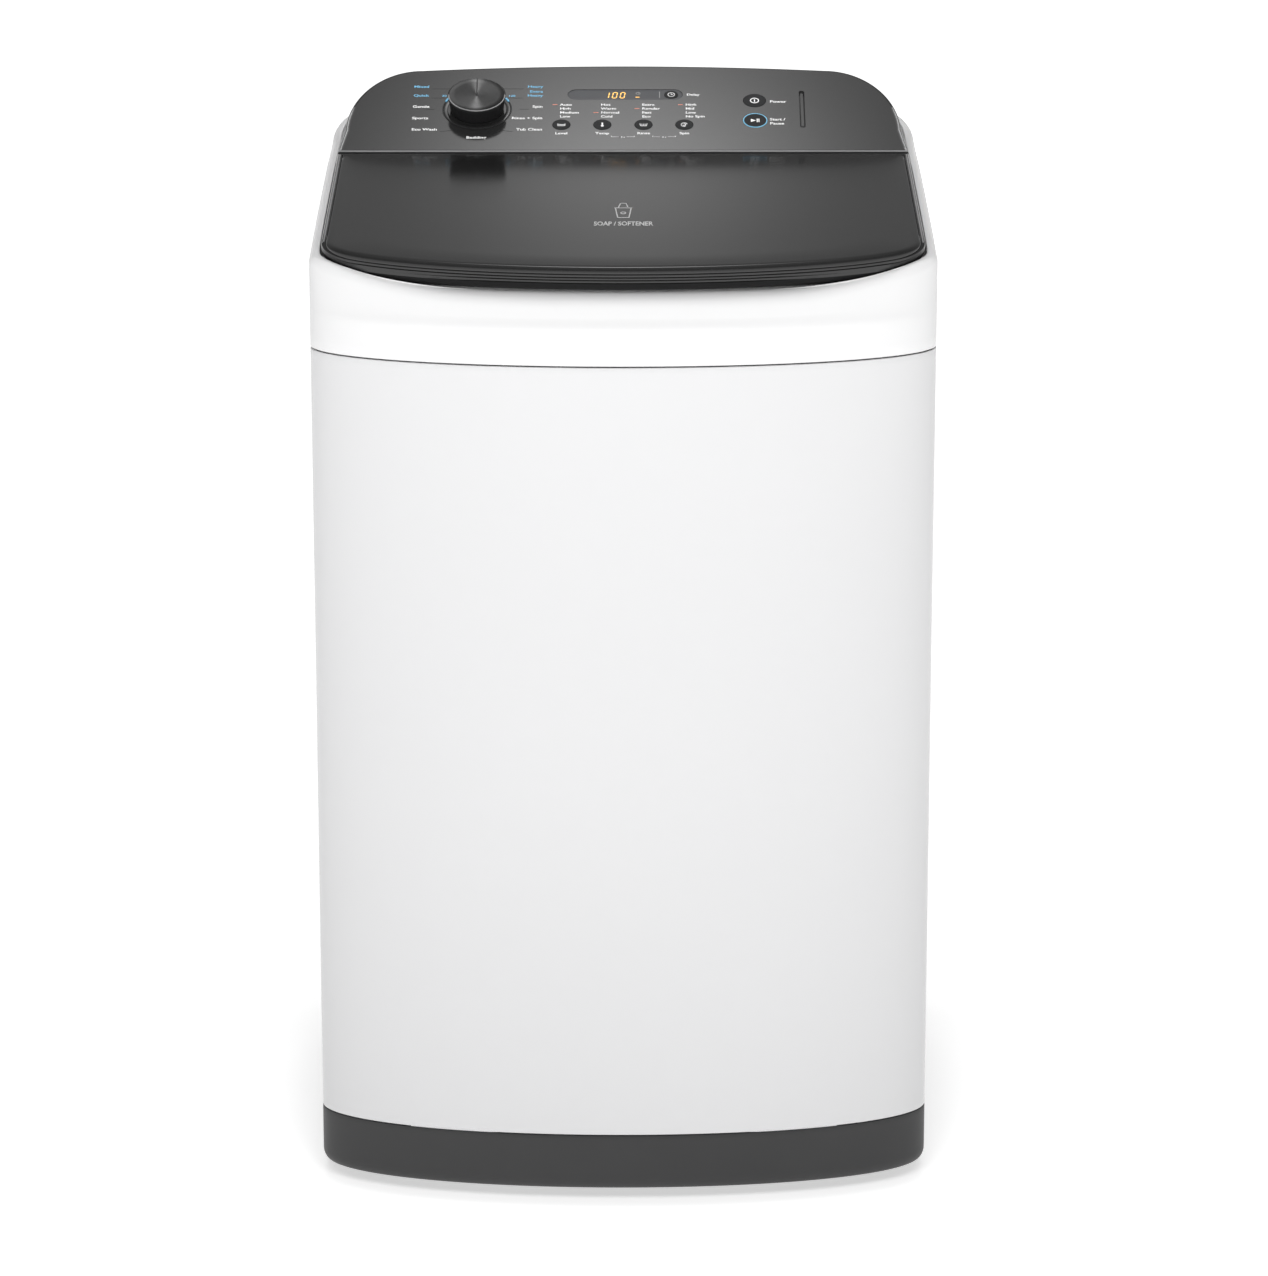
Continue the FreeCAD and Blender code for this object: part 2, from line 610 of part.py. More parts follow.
def belt_loop(grow):
    """A band of two arcs and two tangents round both pulleys."""
    big, small, gap = PULLEY_R + grow, MOTOR_PULLEY_R + grow, MOTOR_Y - TUB_Y
    lean = math.asin((big - small) / gap)
    side, rise = math.cos(lean), math.sin(lean)
    a, b = Vector(big * side, TUB_Y + big * rise, 0), Vector(small * side, MOTOR_Y + small * rise, 0)
    a2, b2 = Vector(-a.x, a.y, 0), Vector(-b.x, b.y, 0)
    edges = [
        Part.makeLine(a, b),
        Part.Arc(b, Vector(0, MOTOR_Y + small, 0), b2).toShape(),
        Part.makeLine(b2, a2),
        Part.Arc(a2, Vector(0, TUB_Y - big, 0), a).toShape(),
    ]
    return Part.Face(Part.Wire(edges))


def drive_belt():
    band = belt_loop(BELT_GAP + BELT_THICK).cut(belt_loop(BELT_GAP)).extrude(Vector(0, 0, BELT_Z1 - BELT_Z0))
    band.translate(Vector(0, 0, BELT_Z0))
    return band


def basket_drum():
    return tube(BASKET_R, BASKET_R - SHEET, 0, TUB_Y, BASKET_Z0, BASKET_Z1)


def basket_base():
    disc = cyl(BASKET_R - SHEET, 0, TUB_Y, BASKET_Z0, BASKET_Z0 + 10)
    hub = cyl(34, 0, TUB_Y, BASKET_Z0 - 18, BASKET_Z0 + 1)
    return join([disc, hub]).cut(cyl(SPIN_SHAFT_R, 0, TUB_Y, 200, 400))


def balance_ring():
    return tube(BASKET_R + 2, RING_INNER, 0, TUB_Y, BASKET_Z1, RING_Z1)


def lint_filters():
    shell = tube(BASKET_R - SHEET, BASKET_R - 13, 0, TUB_Y, 400, 640)
    y0, y1 = TUB_Y - 45, TUB_Y + 45
    return Part.makeCompound([shell.common(box(x, x + 90, y0, y1, 390, 650)) for x in (-240, 150)])


def spin_shaft():
    return tube(SPIN_SHAFT_R, WASH_SHAFT_R + RUN, 0, TUB_Y, SHAFT_Z, BASKET_Z0 + 10)


def wash_shaft():
    return cyl(WASH_SHAFT_R, 0, TUB_Y, SHAFT_Z, BASKET_Z0 + 35)


def pulsator():
    z = BASKET_Z0 + 14
    disc = cyl(PULSATOR_R, 0, TUB_Y, z, z + 8)
    dome = Part.makeCone(70, 26, 34, Vector(0, TUB_Y, z + 6))
    fins = []
    for i in range(4):
        fin = box(20, PULSATOR_R - 12, -7, 7, z + 6, z + 26)
        fin.Placement = Placement(Vector(0, TUB_Y, 0), Rotation(Vector(0, 0, 1), 45 + 90 * i))
        fins.append(fin)
    return join([disc, dome] + fins).cut(cyl(WASH_SHAFT_R, 0, TUB_Y, 200, BASKET_Z0 + 35))


PARTS = {
    "cabinet_shell": cabinet_shell, "rear_panel": rear_panel, "rear_panel_screws": rear_panel_screws,
    "base_plinth": base_plinth, "foot_lock_nuts": foot_lock_nuts, "top_cover": top_cover,
    "hinge_brackets": hinge_brackets, "lid_switch": lid_switch, "console_body": console_body,
    "console_fascia": console_fascia, "knob_bezel": knob_bezel, "display_window": display_window,
    "display_module": display_module, "groove_insert": groove_insert, "control_board": control_board,
    "encoder": encoder, "drain_pump": drain_pump, "cord_gland": cord_gland,
    "pressure_sensor": pressure_sensor, "dispenser_housing": dispenser_housing,
    "corner_brackets": corner_brackets, "suspension_rods": suspension_rods,
    "suspension_springs": suspension_springs, "lid_frame": lid_frame, "lid_panel": lid_panel,
    "lid_liner": lid_liner, "lid_hinge_knuckles": lid_hinge_knuckles, "hinge_pins": hinge_pins,
    "dispenser_drawer": dispenser_drawer, "knob": knob, "knob_shaft": knob_shaft,
    "outer_tub": outer_tub, "tub_cover_ring": tub_cover_ring, "tub_bearing": tub_bearing,
    "drive_frame": drive_frame, "gearbox": gearbox, "motor": motor, "drive_belt": drive_belt,
    "basket_drum": basket_drum, "basket_base": basket_base, "balance_ring": balance_ring,
    "lint_filters": lint_filters, "spin_shaft": spin_shaft, "pulsator": pulsator, "wash_shaft": wash_shaft,
}


def main():
    os.makedirs("parts", exist_ok=True)
    shapes = {name: make() for name, make in PARTS.items()}
    shapes["drive_pulley"] = pulley(TUB_Y, PULLEY_R, 8)
    shapes["motor_pulley"] = pulley(MOTOR_Y, MOTOR_PULLEY_R, 6)
    for name, (x, y, r) in BUTTONS.items():
        shapes[name] = button(x, y, r)
    for name, x in VALVE_X.items():
        shapes[name] = inlet_valve(x)
    for name, (x, y) in foot_places().items():
        shapes[name] = foot(x, y)
    for name, shape in shapes.items():
        shape.exportStep(os.path.join("parts", name + ".step"))
        print(name, len(shape.Solids), shape.isValid(), round(shape.Volume))


main()
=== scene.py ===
import math

import bmesh
import bpy
from mathutils import Matrix, Vector


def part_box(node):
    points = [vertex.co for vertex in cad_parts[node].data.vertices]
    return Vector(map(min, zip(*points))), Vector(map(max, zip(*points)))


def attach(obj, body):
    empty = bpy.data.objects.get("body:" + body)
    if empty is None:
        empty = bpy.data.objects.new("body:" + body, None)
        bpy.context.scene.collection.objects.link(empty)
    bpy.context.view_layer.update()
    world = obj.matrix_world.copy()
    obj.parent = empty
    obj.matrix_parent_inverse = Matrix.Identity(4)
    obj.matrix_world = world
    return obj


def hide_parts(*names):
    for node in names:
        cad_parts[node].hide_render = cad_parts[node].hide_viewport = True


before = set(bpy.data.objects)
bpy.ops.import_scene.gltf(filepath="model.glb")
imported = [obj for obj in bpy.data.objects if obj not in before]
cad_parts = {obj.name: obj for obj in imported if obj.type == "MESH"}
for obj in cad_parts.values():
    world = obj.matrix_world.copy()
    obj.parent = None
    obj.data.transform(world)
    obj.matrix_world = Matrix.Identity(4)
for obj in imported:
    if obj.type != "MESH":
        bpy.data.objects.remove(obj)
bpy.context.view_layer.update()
scene = bpy.context.scene

# The scene works in millimetres, in the row frame, and turns points into metres as it makes each mesh.
MM = 0.001


def node_box(node):
    """A CAD node's lowest and highest corner, in millimetres."""
    low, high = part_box(node)
    return low / MM, high / MM


# ---- driving dimensions, read from the frame where it has them ----------------------------------
shell_low, shell_high = node_box("cabinet_shell")
HALF, FRONT, REAR = shell_high.x, shell_low.y, shell_high.y
SHELL_Z, SEAM_Z = shell_low.z, shell_high.z
BOW, CORNER = 90.0, 45.0
PLINTH_Z = node_box("base_plinth")[0].z
PLINTH_TUCK = 6.0
BREAK_Z, LEAN, LEAN_RISE = 870.0, 12.0, 27.0

lid_low, lid_high = node_box("lid_frame")
LID_HALF, LID_FRONT, LID_REAR = lid_high.x, lid_low.y, lid_high.y
LID_BOW, LID_CORNER = 92.0, 4.0
LID_SLOPE = math.tan(math.radians(3.88))
LID_TOP = 932.0 + 200.0 * LID_SLOPE        # height of the lid's top plane over y = 0
LID_DEPTH, LIP_DEPTH = 13.0, 25.5
PANEL_INSET = 5.0
HINGE_X = 230.0
PIVOT = Vector((0, 118.5, 949.0))

RIM = 9.0                                   # width of the cover's rim
LEDGE, DECK = 30.0, 16.0                    # gutter and deck, below the lid's top plane
DECK_HALF, DECK_FRONT, DECK_BOW, DECK_REAR = 268.0, -264.0, 84.0, 100.0
MOUTH_R, MOUTH_Y, COLLAR_Z = 168.0, -68.0, 822.0
SHELF_Z = 944.0

CONSOLE = Vector((0, 125.2, 954.4))
TILT = math.radians(24.5)
KNOB_U, KNOB_V = -147.0, 74.0
KNOB_BASE_R, KNOB_FACE_R = 26.8, 29.0
KEYS = {
    "power": (132.3, 89.0, 11.3),
    "start": (132.4, 54.3, 12.0),
    "water_level": (-62.0, 47.0, 8.8),
    "temperature": (-21.0, 47.0, 8.8),
    "rinse": (20.3, 47.0, 8.8),
    "spin": (61.2, 47.0, 8.8),
    "delay": (48.4, 99.6, 6.8),
}
DISPLAY = (-56.0, 60.0, 90.4, 108.8)
GROOVE = (180.0, 41.7, 106.3, 5.5)

TUB_Y = -30.0
basket_low, basket_high = node_box("basket_drum")
BASKET_R, BASKET_Z0, BASKET_Z1 = basket_high.x, basket_low.z, basket_high.z


# ---- mesh helpers -------------------------------------------------------------------------------

def lerp(a, b, t):
    return a + (b - a) * t


def smooth(t):
    t = max(0.0, min(1.0, t))
    return t * t * (3 - 2 * t)


def add_object(name, verts, faces, materials, place=None, crease=32.0, weld=0.01):
    """A welded, consistently wound mesh object. Verts are in millimetres, placed by an optional matrix."""
    mesh = bpy.data.meshes.new(name)
    mesh.from_pydata([Vector(v) * MM for v in verts], [], faces)
    bm = bmesh.new()
    bm.from_mesh(mesh)
    bmesh.ops.remove_doubles(bm, verts=bm.verts, dist=weld * MM)
    bmesh.ops.dissolve_degenerate(bm, edges=bm.edges, dist=weld * MM)
    bmesh.ops.recalc_face_normals(bm, faces=bm.faces)
    bm.to_mesh(mesh)
    bm.free()
    obj = bpy.data.objects.new(name, mesh)
    scene.collection.objects.link(obj)
    for material in materials if isinstance(materials, (list, tuple)) else [materials]:
        mesh.materials.append(material)
    shade(obj, crease)
    if place is not None:
        obj.matrix_world = place
    return obj


def shade(obj, crease=32.0):
    mesh = obj.data
    mesh.polygons.foreach_set("use_smooth", [True] * len(mesh.polygons))
    mesh.set_sharp_from_angle(angle=math.radians(crease))


def loft(rings, closed=False, caps=(True, True)):
    """Faces through rings of equal length. A closed loft joins its last ring to its first."""
    n = len(rings[0])
    verts = [p for ring in rings for p in ring]
    faces = []
    count = len(rings)
    for i in range(count if closed else count - 1):
        a, b = i * n, ((i + 1) % count) * n
        for j in range(n):
            k = (j + 1) % n
            faces.append((a + j, a + k, b + k, b + j))
    if not closed:
        if caps[0]:
            faces.append(tuple(range(n))[::-1])
        if caps[1]:
            faces.append(tuple(range((count - 1) * n, count * n)))
    return verts, faces


def merge(*parts):
    """Several (verts, faces) as one."""
    verts, faces = [], []
    for v, f in parts:
        base = len(verts)
        verts += list(v)
        faces += [tuple(i + base for i in face) for face in f]
    return verts, faces


def moved(part, dx=0.0, dy=0.0, dz=0.0):
    return [(x + dx, y + dy, z + dz) for x, y, z in part[0]], part[1]


def revolve(profile, n=96, centre=(0, 0), closed=False):
    """A turned shape about a vertical axis from (radius, z) points. A radius of 0 closes on the axis."""
    rings = []
    for r, z in profile:
        ring = []
        for j in range(n):
            a = 2 * math.pi * j / n
            ring.append((centre[0] + r * math.cos(a), centre[1] + r * math.sin(a), z))
        rings.append(ring)
    return loft(rings, closed, (profile[0][0] > 0, profile[-1][0] > 0))


def block(x0, x1, y0, y1, z0, z1, edge=0.0):
    """A box with bevelled edges."""
    bm = bmesh.new()
    size = Vector((x1 - x0, y1 - y0, z1 - z0))
    centre = Vector((x0 + x1, y0 + y1, z0 + z1)) / 2
    bmesh.ops.create_cube(bm, size=1.0, matrix=Matrix.Translation(centre) @ Matrix.Diagonal((*size, 1.0)))
    if edge > 0:
        bmesh.ops.bevel(bm, geom=bm.edges[:], offset=edge, segments=2, profile=0.5, affect="EDGES")
    bm.verts.ensure_lookup_table()
    part = [tuple(v.co) for v in bm.verts], [tuple(v.index for v in f.verts) for f in bm.faces]
    bm.free()
    return part


def pill_ring(x0, x1, y0, y1, z, n=16):
    """A bar's outline with round ends."""
    r = min(x1 - x0, y1 - y0) / 2
    a, b = Vector((x0 + r, y0 + r)), Vector((x1 - r, y1 - r))
    along = (b - a).normalized()
    across = Vector((-along.y, along.x))
    ring = []
    for centre, sign in ((b, 1), (a, -1)):
        for i in range(n + 1):
            t = -math.pi / 2 + math.pi * i / n
            p = centre + sign * r * (along * math.cos(t) + across * math.sin(t))
            ring.append((p.x, p.y, z))
    return ring


def circle_ring(x, y, r, z, n=48):
    return [(x + r * math.cos(2 * math.pi * j / n), y + r * math.sin(2 * math.pi * j / n), z) for j in range(n)]


def tunnel(x, z, r, y0, y1, n=40):
    """A closed cylinder along the row's y axis, to cut a hole in the back."""
    ring = [(x + r * math.cos(2 * math.pi * k / n), z + r * math.sin(2 * math.pi * k / n)) for k in range(n)]
    return loft([[(px, y, pz) for px, pz in ring] for y in (y0, y1)])


def cut(obj, parts, place=None):
    """Takes away closed (verts, faces) parts from obj."""
    verts, faces = merge(*parts)
    tool = add_object("cutter", verts, faces, [], place)
    modifier = obj.modifiers.new("cut", "BOOLEAN")
    modifier.operation = "DIFFERENCE"
    modifier.solver = "EXACT"
    modifier.object = tool
    bpy.context.view_layer.update()
    result = bpy.data.meshes.new_from_object(obj.evaluated_get(bpy.context.evaluated_depsgraph_get()))
    obj.modifiers.clear()
    old = obj.data
    obj.data = result
    result.name = old.name
    bpy.data.meshes.remove(old)
    bpy.data.objects.remove(tool)
    shade(obj)
    return obj


def finish_piece(obj, body, replaces=()):
    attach(obj, body)
    if replaces:
        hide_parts(*replaces)
    return obj


def curve_through(points):
    """A smooth monotone-looking function through (x, y) points."""
    slopes = []
    for i in range(len(points)):
        a, b = points[max(i - 1, 0)], points[min(i + 1, len(points) - 1)]
        slopes.append((b[1] - a[1]) / (b[0] - a[0]))

    def value(x):
        if x <= points[0][0]:
            return points[0][1]
        for i in range(len(points) - 1):
            (x0, y0), (x1, y1) = points[i], points[i + 1]
            if x <= x1:
                t, w = (x - x0) / (x1 - x0), x1 - x0
                h = t * t * (3 - 2 * t)
                return (lerp(y0, y1, h) + slopes[i] * w * t * (1 - t) ** 2 - slopes[i + 1] * w * t * t * (1 - t))
        return points[-1][1]

    return value


# ---- outlines -----------------------------------------------------------------------------------

def plan(half, front, bow, rear, corner, stations=(), n_bow=128, n_side=14, n_corner=10, n_rear=24):
    """The machine's plan outline: half-ellipse front, straight sides, rounded rear corners."""
    side, flat = front + bow, half - corner
    points = []
    for i in range(n_bow + 1):
        t = math.pi + math.pi * i / n_bow
        points.append((half * math.cos(t), side + bow * math.sin(t)))
    end = rear - corner
    steps = sorted([lerp(side, end, i / n_side) for i in range(1, n_side + 1)] + [min(s, end) for s in stations])
    points += [(half, y) for y in steps]
    for i in range(1, n_corner + 1):
        t = math.pi / 2 * i / n_corner
        points.append((flat + corner * math.cos(t), end + corner * math.sin(t)))
    points += [(lerp(flat, -flat, i / n_rear), rear) for i in range(1, n_rear)]
    for i in range(n_corner + 1):
        t = math.pi / 2 + math.pi / 2 * i / n_corner
        points.append((-flat + corner * math.cos(t), end + corner * math.sin(t)))
    points += [(-half, y) for y in reversed(steps)]
    return points[:-1] if steps and abs(steps[0] - side) < 1e-6 else points


def body_plan(inset, back=0.0, stations=()):
    return plan(HALF - inset, FRONT + inset + back, BOW - inset - back, REAR - inset,
                max(CORNER - inset, 1.0), stations)


def lid_plan(inset):
    return plan(LID_HALF - inset, LID_FRONT + inset, LID_BOW - inset, LID_REAR - inset,
                max(LID_CORNER - inset, 0.6), n_corner=6)


def lid_z(y, below=0.0):
    return LID_TOP + y * LID_SLOPE - below


def console_outline(inset, n_low=48, n_side=8, n_quad=28, n_top=40):
    """The console's outline in its own plane: across and up the slope."""
    low, side, rise = 284.0 - inset, 278.0 - inset, 38.0
    shoulder, reach, top = 204.0, 105.0 - inset, 151.0 - inset
    points = [(lerp(-low, low, i / n_low), inset) for i in range(n_low)]
    points += [(lerp(low, side, i / n_side), lerp(inset, rise, i / n_side)) for i in range(n_side)]
    right = []
    for i in range(n_quad):
        t = math.pi / 2 * i / n_quad
        right.append((shoulder + (side - shoulder) * math.cos(t), rise + reach * math.sin(t)))
    points += right
    sag = top - rise - reach
    radius = (shoulder ** 2 + sag ** 2) / (2 * sag)
    half_angle = math.asin(shoulder / radius)
    for i in range(n_top):
        a = lerp(half_angle, -half_angle, i / n_top)
        points.append((radius * math.sin(a), top - radius + radius * math.cos(a)))
    points.append((-shoulder, rise + reach))
    points += [(-x, y) for x, y in reversed(right[1:])]
    points += [(-lerp(side, low, i / n_side), lerp(rise, inset, i / n_side)) for i in range(n_side)]
    return points


CONSOLE_FRAME = Matrix.Translation(CONSOLE * MM) @ Matrix.Rotation(TILT, 4, "X")


def console_point(u, v, w=0.0):
    """A point of the console plane in the row frame, in millimetres."""
    return Vector((u, CONSOLE.y + v * math.cos(TILT) - w * math.sin(TILT),
                   CONSOLE.z + v * math.sin(TILT) + w * math.cos(TILT)))


# ---- materials ----------------------------------------------------------------------------------

class Paint:
    """A node material with a few shorthands for procedural detail in object coordinates, in metres."""

    def __init__(self, name, colour, roughness, metallic=0.0, coat=0.0, coat_roughness=0.05, specular=0.5,
                 ior=1.5):
        self.material = bpy.data.materials.new(name)
        self.material.use_nodes = True
        self.tree = self.material.node_tree
        self.shader = self.tree.nodes["Principled BSDF"]
        self.set("Base Color", (*colour, 1.0))
        self.set("Roughness", roughness)
        self.set("Metallic", metallic)
        self.set("Coat Weight", coat)
        self.set("Coat Roughness", coat_roughness)
        self.set("Specular IOR Level", specular)
        self.set("IOR", ior)
        self.colour, self.roughness = colour, roughness
        self.coordinates = self.node("ShaderNodeTexCoord").outputs["Object"]

    def set(self, socket, value):
        self.shader.inputs[socket].default_value = value

    def node(self, kind, **inputs):
        made = self.tree.nodes.new(kind)
        for key, value in inputs.items():
            made.inputs[key.replace("_", " ")].default_value = value
        return made

    def link(self, output, target):
        self.tree.links.new(output, target)

    def stretched(self, scale):
        mapping = self.node("ShaderNodeMapping")
        mapping.inputs["Scale"].default_value = scale
        self.link(self.coordinates, mapping.inputs["Vector"])
        return mapping.outputs["Vector"]

    def noise(self, scale, detail=3.0, rough=0.55, vector=None):
        made = self.node("ShaderNodeTexNoise", Scale=scale, Detail=detail, Roughness=rough)
        self.link(vector or self.coordinates, made.inputs["Vector"])
        return made.outputs["Fac"]

    def ramp(self, value, low, high):
        made = self.node("ShaderNodeMapRange")
        made.inputs["To Min"].default_value = low
        made.inputs["To Max"].default_value = high
        made.inputs["From Min"].default_value = 0.3
        made.inputs["From Max"].default_value = 0.7
        self.link(value, made.inputs["Value"])
        return made.outputs["Result"]

    def tint(self, value, amount):
        """Varies the colour by plus or minus amount."""
        mix = self.node("ShaderNodeMix")
        mix.data_type = "RGBA"
        dark = tuple(max(0.0, c * (1 - amount)) for c in self.colour)
        light = tuple(min(1.0, c * (1 + amount)) for c in self.colour)
        mix.inputs[6].default_value = (*dark, 1.0)
        mix.inputs[7].default_value = (*light, 1.0)
        self.link(self.ramp(value, 0.0, 1.0), mix.inputs[0])
        self.link(mix.outputs[2], self.shader.inputs["Base Color"])
        return self

    def gloss(self, value, amount):
        """Varies the roughness by plus or minus amount."""
        self.link(self.ramp(value, self.roughness - amount, self.roughness + amount),
                  self.shader.inputs["Roughness"])
        return self

    def bump(self, value, height, strength=1.0):
        """Raises the surface by height metres, on top of any earlier bump."""
        made = self.node("ShaderNodeBump")
        made.inputs["Strength"].default_value = strength
        made.inputs["Distance"].default_value = height
        self.link(value, made.inputs["Height"])
        earlier = self.shader.inputs["Normal"].links
        if earlier:
            self.link(earlier[0].from_socket, made.inputs["Normal"])
        self.link(made.outputs["Normal"], self.shader.inputs["Normal"])
        return self


def moulded(name, colour, roughness=0.45, grain=0.00002, scale=2200.0, **more):
    """Moulded plastic: a fine spark-eroded grain and a slight change of gloss over the surface."""
    paint = Paint(name, colour, roughness, **more)
    paint.bump(paint.noise(scale, 2.0), grain)
    paint.gloss(paint.noise(9.0, 3.0), 0.04)
    paint.tint(paint.noise(5.0, 2.0), 0.03)
    return paint.material


def metal(name, colour, roughness=0.3, brush=(30.0, 30.0, 900.0), depth=0.00001):
    """Drawn or plated metal with fine directional marks."""
    paint = Paint(name, colour, roughness, metallic=1.0)
    marks = paint.noise(1.0, 4.0, 0.6, paint.stretched(brush))
    paint.bump(marks, depth)
    paint.gloss(marks, 0.08)
    paint.tint(paint.noise(12.0, 3.0), 0.06)
    return paint.material


def make_materials():
    m = {}
    enamel = Paint("white_enamel", (0.57, 0.57, 0.575), 0.34, coat=0.35, coat_roughness=0.12)
    enamel.bump(enamel.noise(420.0, 2.0), 0.000012)
    enamel.tint(enamel.noise(2.2, 2.0), 0.006)
    enamel.gloss(enamel.noise(6.0, 3.0), 0.03)
    m["enamel"] = enamel.material

    white = Paint("white_moulding", (0.66, 0.66, 0.662), 0.36, coat=0.2, coat_roughness=0.18)
    white.bump(white.noise(1500.0, 2.0), 0.000012)
    white.gloss(white.noise(7.0, 3.0), 0.03)
    white.tint(white.noise(2.0, 2.0), 0.006)
    m["white"] = white.material

    m["base"] = moulded("base_plastic", (0.02, 0.02, 0.0205), 0.5, 0.00004, 1400.0)

    # dark grey paint with a fine metallic flake under a clear coat; the console's copy is a lighter grey than the
    # lid's, painted light for the same paint lit more brightly on the sloping console
    for key, grey, coat, coat_rough in (("lid", 0.012, 1.0, 0.13), ("console", 0.019, 1.0, 0.13)):
        flake = Paint(key + "_metallic_grey", (grey, grey, grey), 0.45, coat=coat, coat_roughness=coat_rough,
                      specular=0.0)
        cells = flake.node("ShaderNodeTexVoronoi", Scale=2600.0)
        flake.link(flake.coordinates, cells.inputs["Vector"])
        flake.tint(cells.outputs["Color"], 0.16)
        flake.bump(flake.noise(900.0, 2.0), 0.000008)
        flake.gloss(flake.noise(5.0, 3.0), 0.03)
        m[key] = flake.material

    # near-black grey for the lid lip's undercut: painted shade, where the undercut faces down into shade
    m["lip"] = moulded("lid_lip_painted_shade", (0.006, 0.006, 0.0062), 0.5, 0.00001, 1800.0, specular=0.12)
    # a lighter grey for the top faces of the lid's bead and the console's lower bead: a painted highlight
    m["bead"] = moulded("painted_bead_highlight", (0.2, 0.2, 0.203), 0.3, 0.00001, 1800.0, coat=1.0, coat_roughness=0.15)
    m["inner"] = moulded("inner_grey", (0.32, 0.32, 0.33), 0.5, 0.00004, 1200.0)
    m["drawer"] = moulded("drawer_white", (0.75, 0.76, 0.77), 0.4)
    m["black"] = moulded("black_plastic", (0.02, 0.02, 0.021), 0.5, 0.00004, 1200.0)
    m["key"] = moulded("key_cap", (0.018, 0.0185, 0.0195), 0.5, 0.000012, 2600.0, specular=0.2)
    m["bezel"] = moulded("bezel_ring", (0.05, 0.05, 0.051), 0.4, 0.00001, 2400.0, coat=0.3)
    m["dark_line"] = moulded("dark_print", (0.02, 0.02, 0.02), 0.5)
    m["knob_side"] = moulded("knob_side", (0.014, 0.014, 0.0145), 0.42, 0.000012, 2400.0, specular=0.3)

    face = Paint("knob_face", (0.05, 0.05, 0.051), 0.32, metallic=1.0)
    wave = face.node("ShaderNodeTexWave", Scale=900.0, Distortion=1.5, Detail=2.0)
    wave.wave_type = "RINGS"
    wave.rings_direction = "Z"
    face.link(face.coordinates, wave.inputs["Vector"])
    face.bump(wave.outputs["Fac"], 0.000006)
    face.gloss(wave.outputs["Fac"], 0.05)
    face.set("Anisotropic", 0.75)
    tangent = face.node("ShaderNodeTangent")
    tangent.direction_type = "RADIAL"
    tangent.axis = "Z"
    face.link(tangent.outputs["Tangent"], face.shader.inputs["Tangent"])
    # painted highlight: the base colour is lighter in a fan along one diameter, standing in for the fan of light that
    # spun metal shows
    split = face.node("ShaderNodeSeparateXYZ")
    face.link(face.coordinates, split.inputs[0])
    painted_fan_highlight = []
    for operation in ("DIVIDE", "MULTIPLY", "MULTIPLY", "EXPONENT"):
        painted_fan_highlight.append(face.node("ShaderNodeMath"))
        painted_fan_highlight[-1].operation = operation
    face.link(split.outputs["X"], painted_fan_highlight[0].inputs[0])
    face.link(split.outputs["Y"], painted_fan_highlight[0].inputs[1])
    for i in (0, 1):
        face.link(painted_fan_highlight[0].outputs[0], painted_fan_highlight[1].inputs[i])
    face.link(painted_fan_highlight[1].outputs[0], painted_fan_highlight[2].inputs[0])
    painted_fan_highlight[2].inputs[1].default_value = -14.0
    face.link(painted_fan_highlight[2].outputs[0], painted_fan_highlight[3].inputs[0])
    spread = face.node("ShaderNodeMapRange")
    spread.inputs["To Min"].default_value = 0.058
    spread.inputs["To Max"].default_value = 0.17
    face.link(painted_fan_highlight[3].outputs[0], spread.inputs["Value"])
    face.link(spread.outputs["Result"], face.shader.inputs["Base Color"])
    m["knob_face"] = face.material
    # a lighter grey for the front of the knob face's edge: a painted highlight
    m["knob_edge"] = moulded("knob_painted_edge_highlight", (0.25, 0.25, 0.253), 0.3, 0.000008, 2600.0)

    glass = Paint("display_smoke", (0.045, 0.047, 0.052), 0.3, specular=0.3)
    glass.tint(glass.noise(60.0, 2.0), 0.05)
    glass.bump(glass.noise(300.0, 2.0), 0.000004)
    m["display"] = glass.material

    for key, colour, glow in (
        ("print_white_painted_glow", (0.78, 0.78, 0.78), 0.25), ("print_blue_painted_glow", (0.16, 0.42, 0.62), 0.25),
        ("print_grey", (0.3, 0.3, 0.3), 0.0), ("print_dark", (0.012, 0.012, 0.0125), 0.0), ("print_mark", (0.5, 0.5, 0.5), 0.0),
        ("light_orange", (0.95, 0.52, 0.12), 1.0), ("light_red", (0.62, 0.22, 0.16), 0.35),
        ("light_blue", (0.16, 0.42, 0.6), 0.3),
    ):
        ink = Paint(key, colour, 0.5)
        ink.tint(ink.noise(900.0, 2.0), 0.05)
        ink.bump(ink.noise(2500.0, 2.0), 0.000004)
        # emission on the white and blue print is painted light: the print glows though it is no lamp; the display
        # figures and indicator lights glow as their own lamps
        if glow:
            ink.set("Emission Color", (*colour, 1.0))
            ink.set("Emission Strength", glow)
        m[key] = ink.material

    m["board"] = moulded("circuit_board", (0.03, 0.16, 0.07), 0.4)
    m["valve"] = moulded("valve_plastic", (0.72, 0.72, 0.7), 0.45)
    m["zinc"] = metal("zinc_plate", (0.62, 0.63, 0.64), 0.32)
    m["spring"] = metal("spring_wire", (0.35, 0.35, 0.36), 0.35)
    m["steel"] = metal("stainless_sheet", (0.66, 0.66, 0.67), 0.22, (900.0, 900.0, 20.0))
    m["alloy"] = metal("cast_alloy", (0.6, 0.6, 0.61), 0.45, (400.0, 400.0, 400.0), 0.00004)
    m["motor"] = moulded("motor_paint", (0.09, 0.09, 0.095), 0.45, 0.00005, 500.0)
    m["tub"] = moulded("tub_plastic", (0.5, 0.55, 0.6), 0.5, 0.00004, 900.0)
    m["basket"] = moulded("basket_plastic", (0.66, 0.68, 0.7), 0.42, 0.00003, 1200.0)
    m["rubber"] = moulded("belt_rubber", (0.02, 0.02, 0.02), 0.7, 0.0001, 500.0)
    return m


M = make_materials()


# ---- cabinet, base and cover --------------------------------------------------------------------

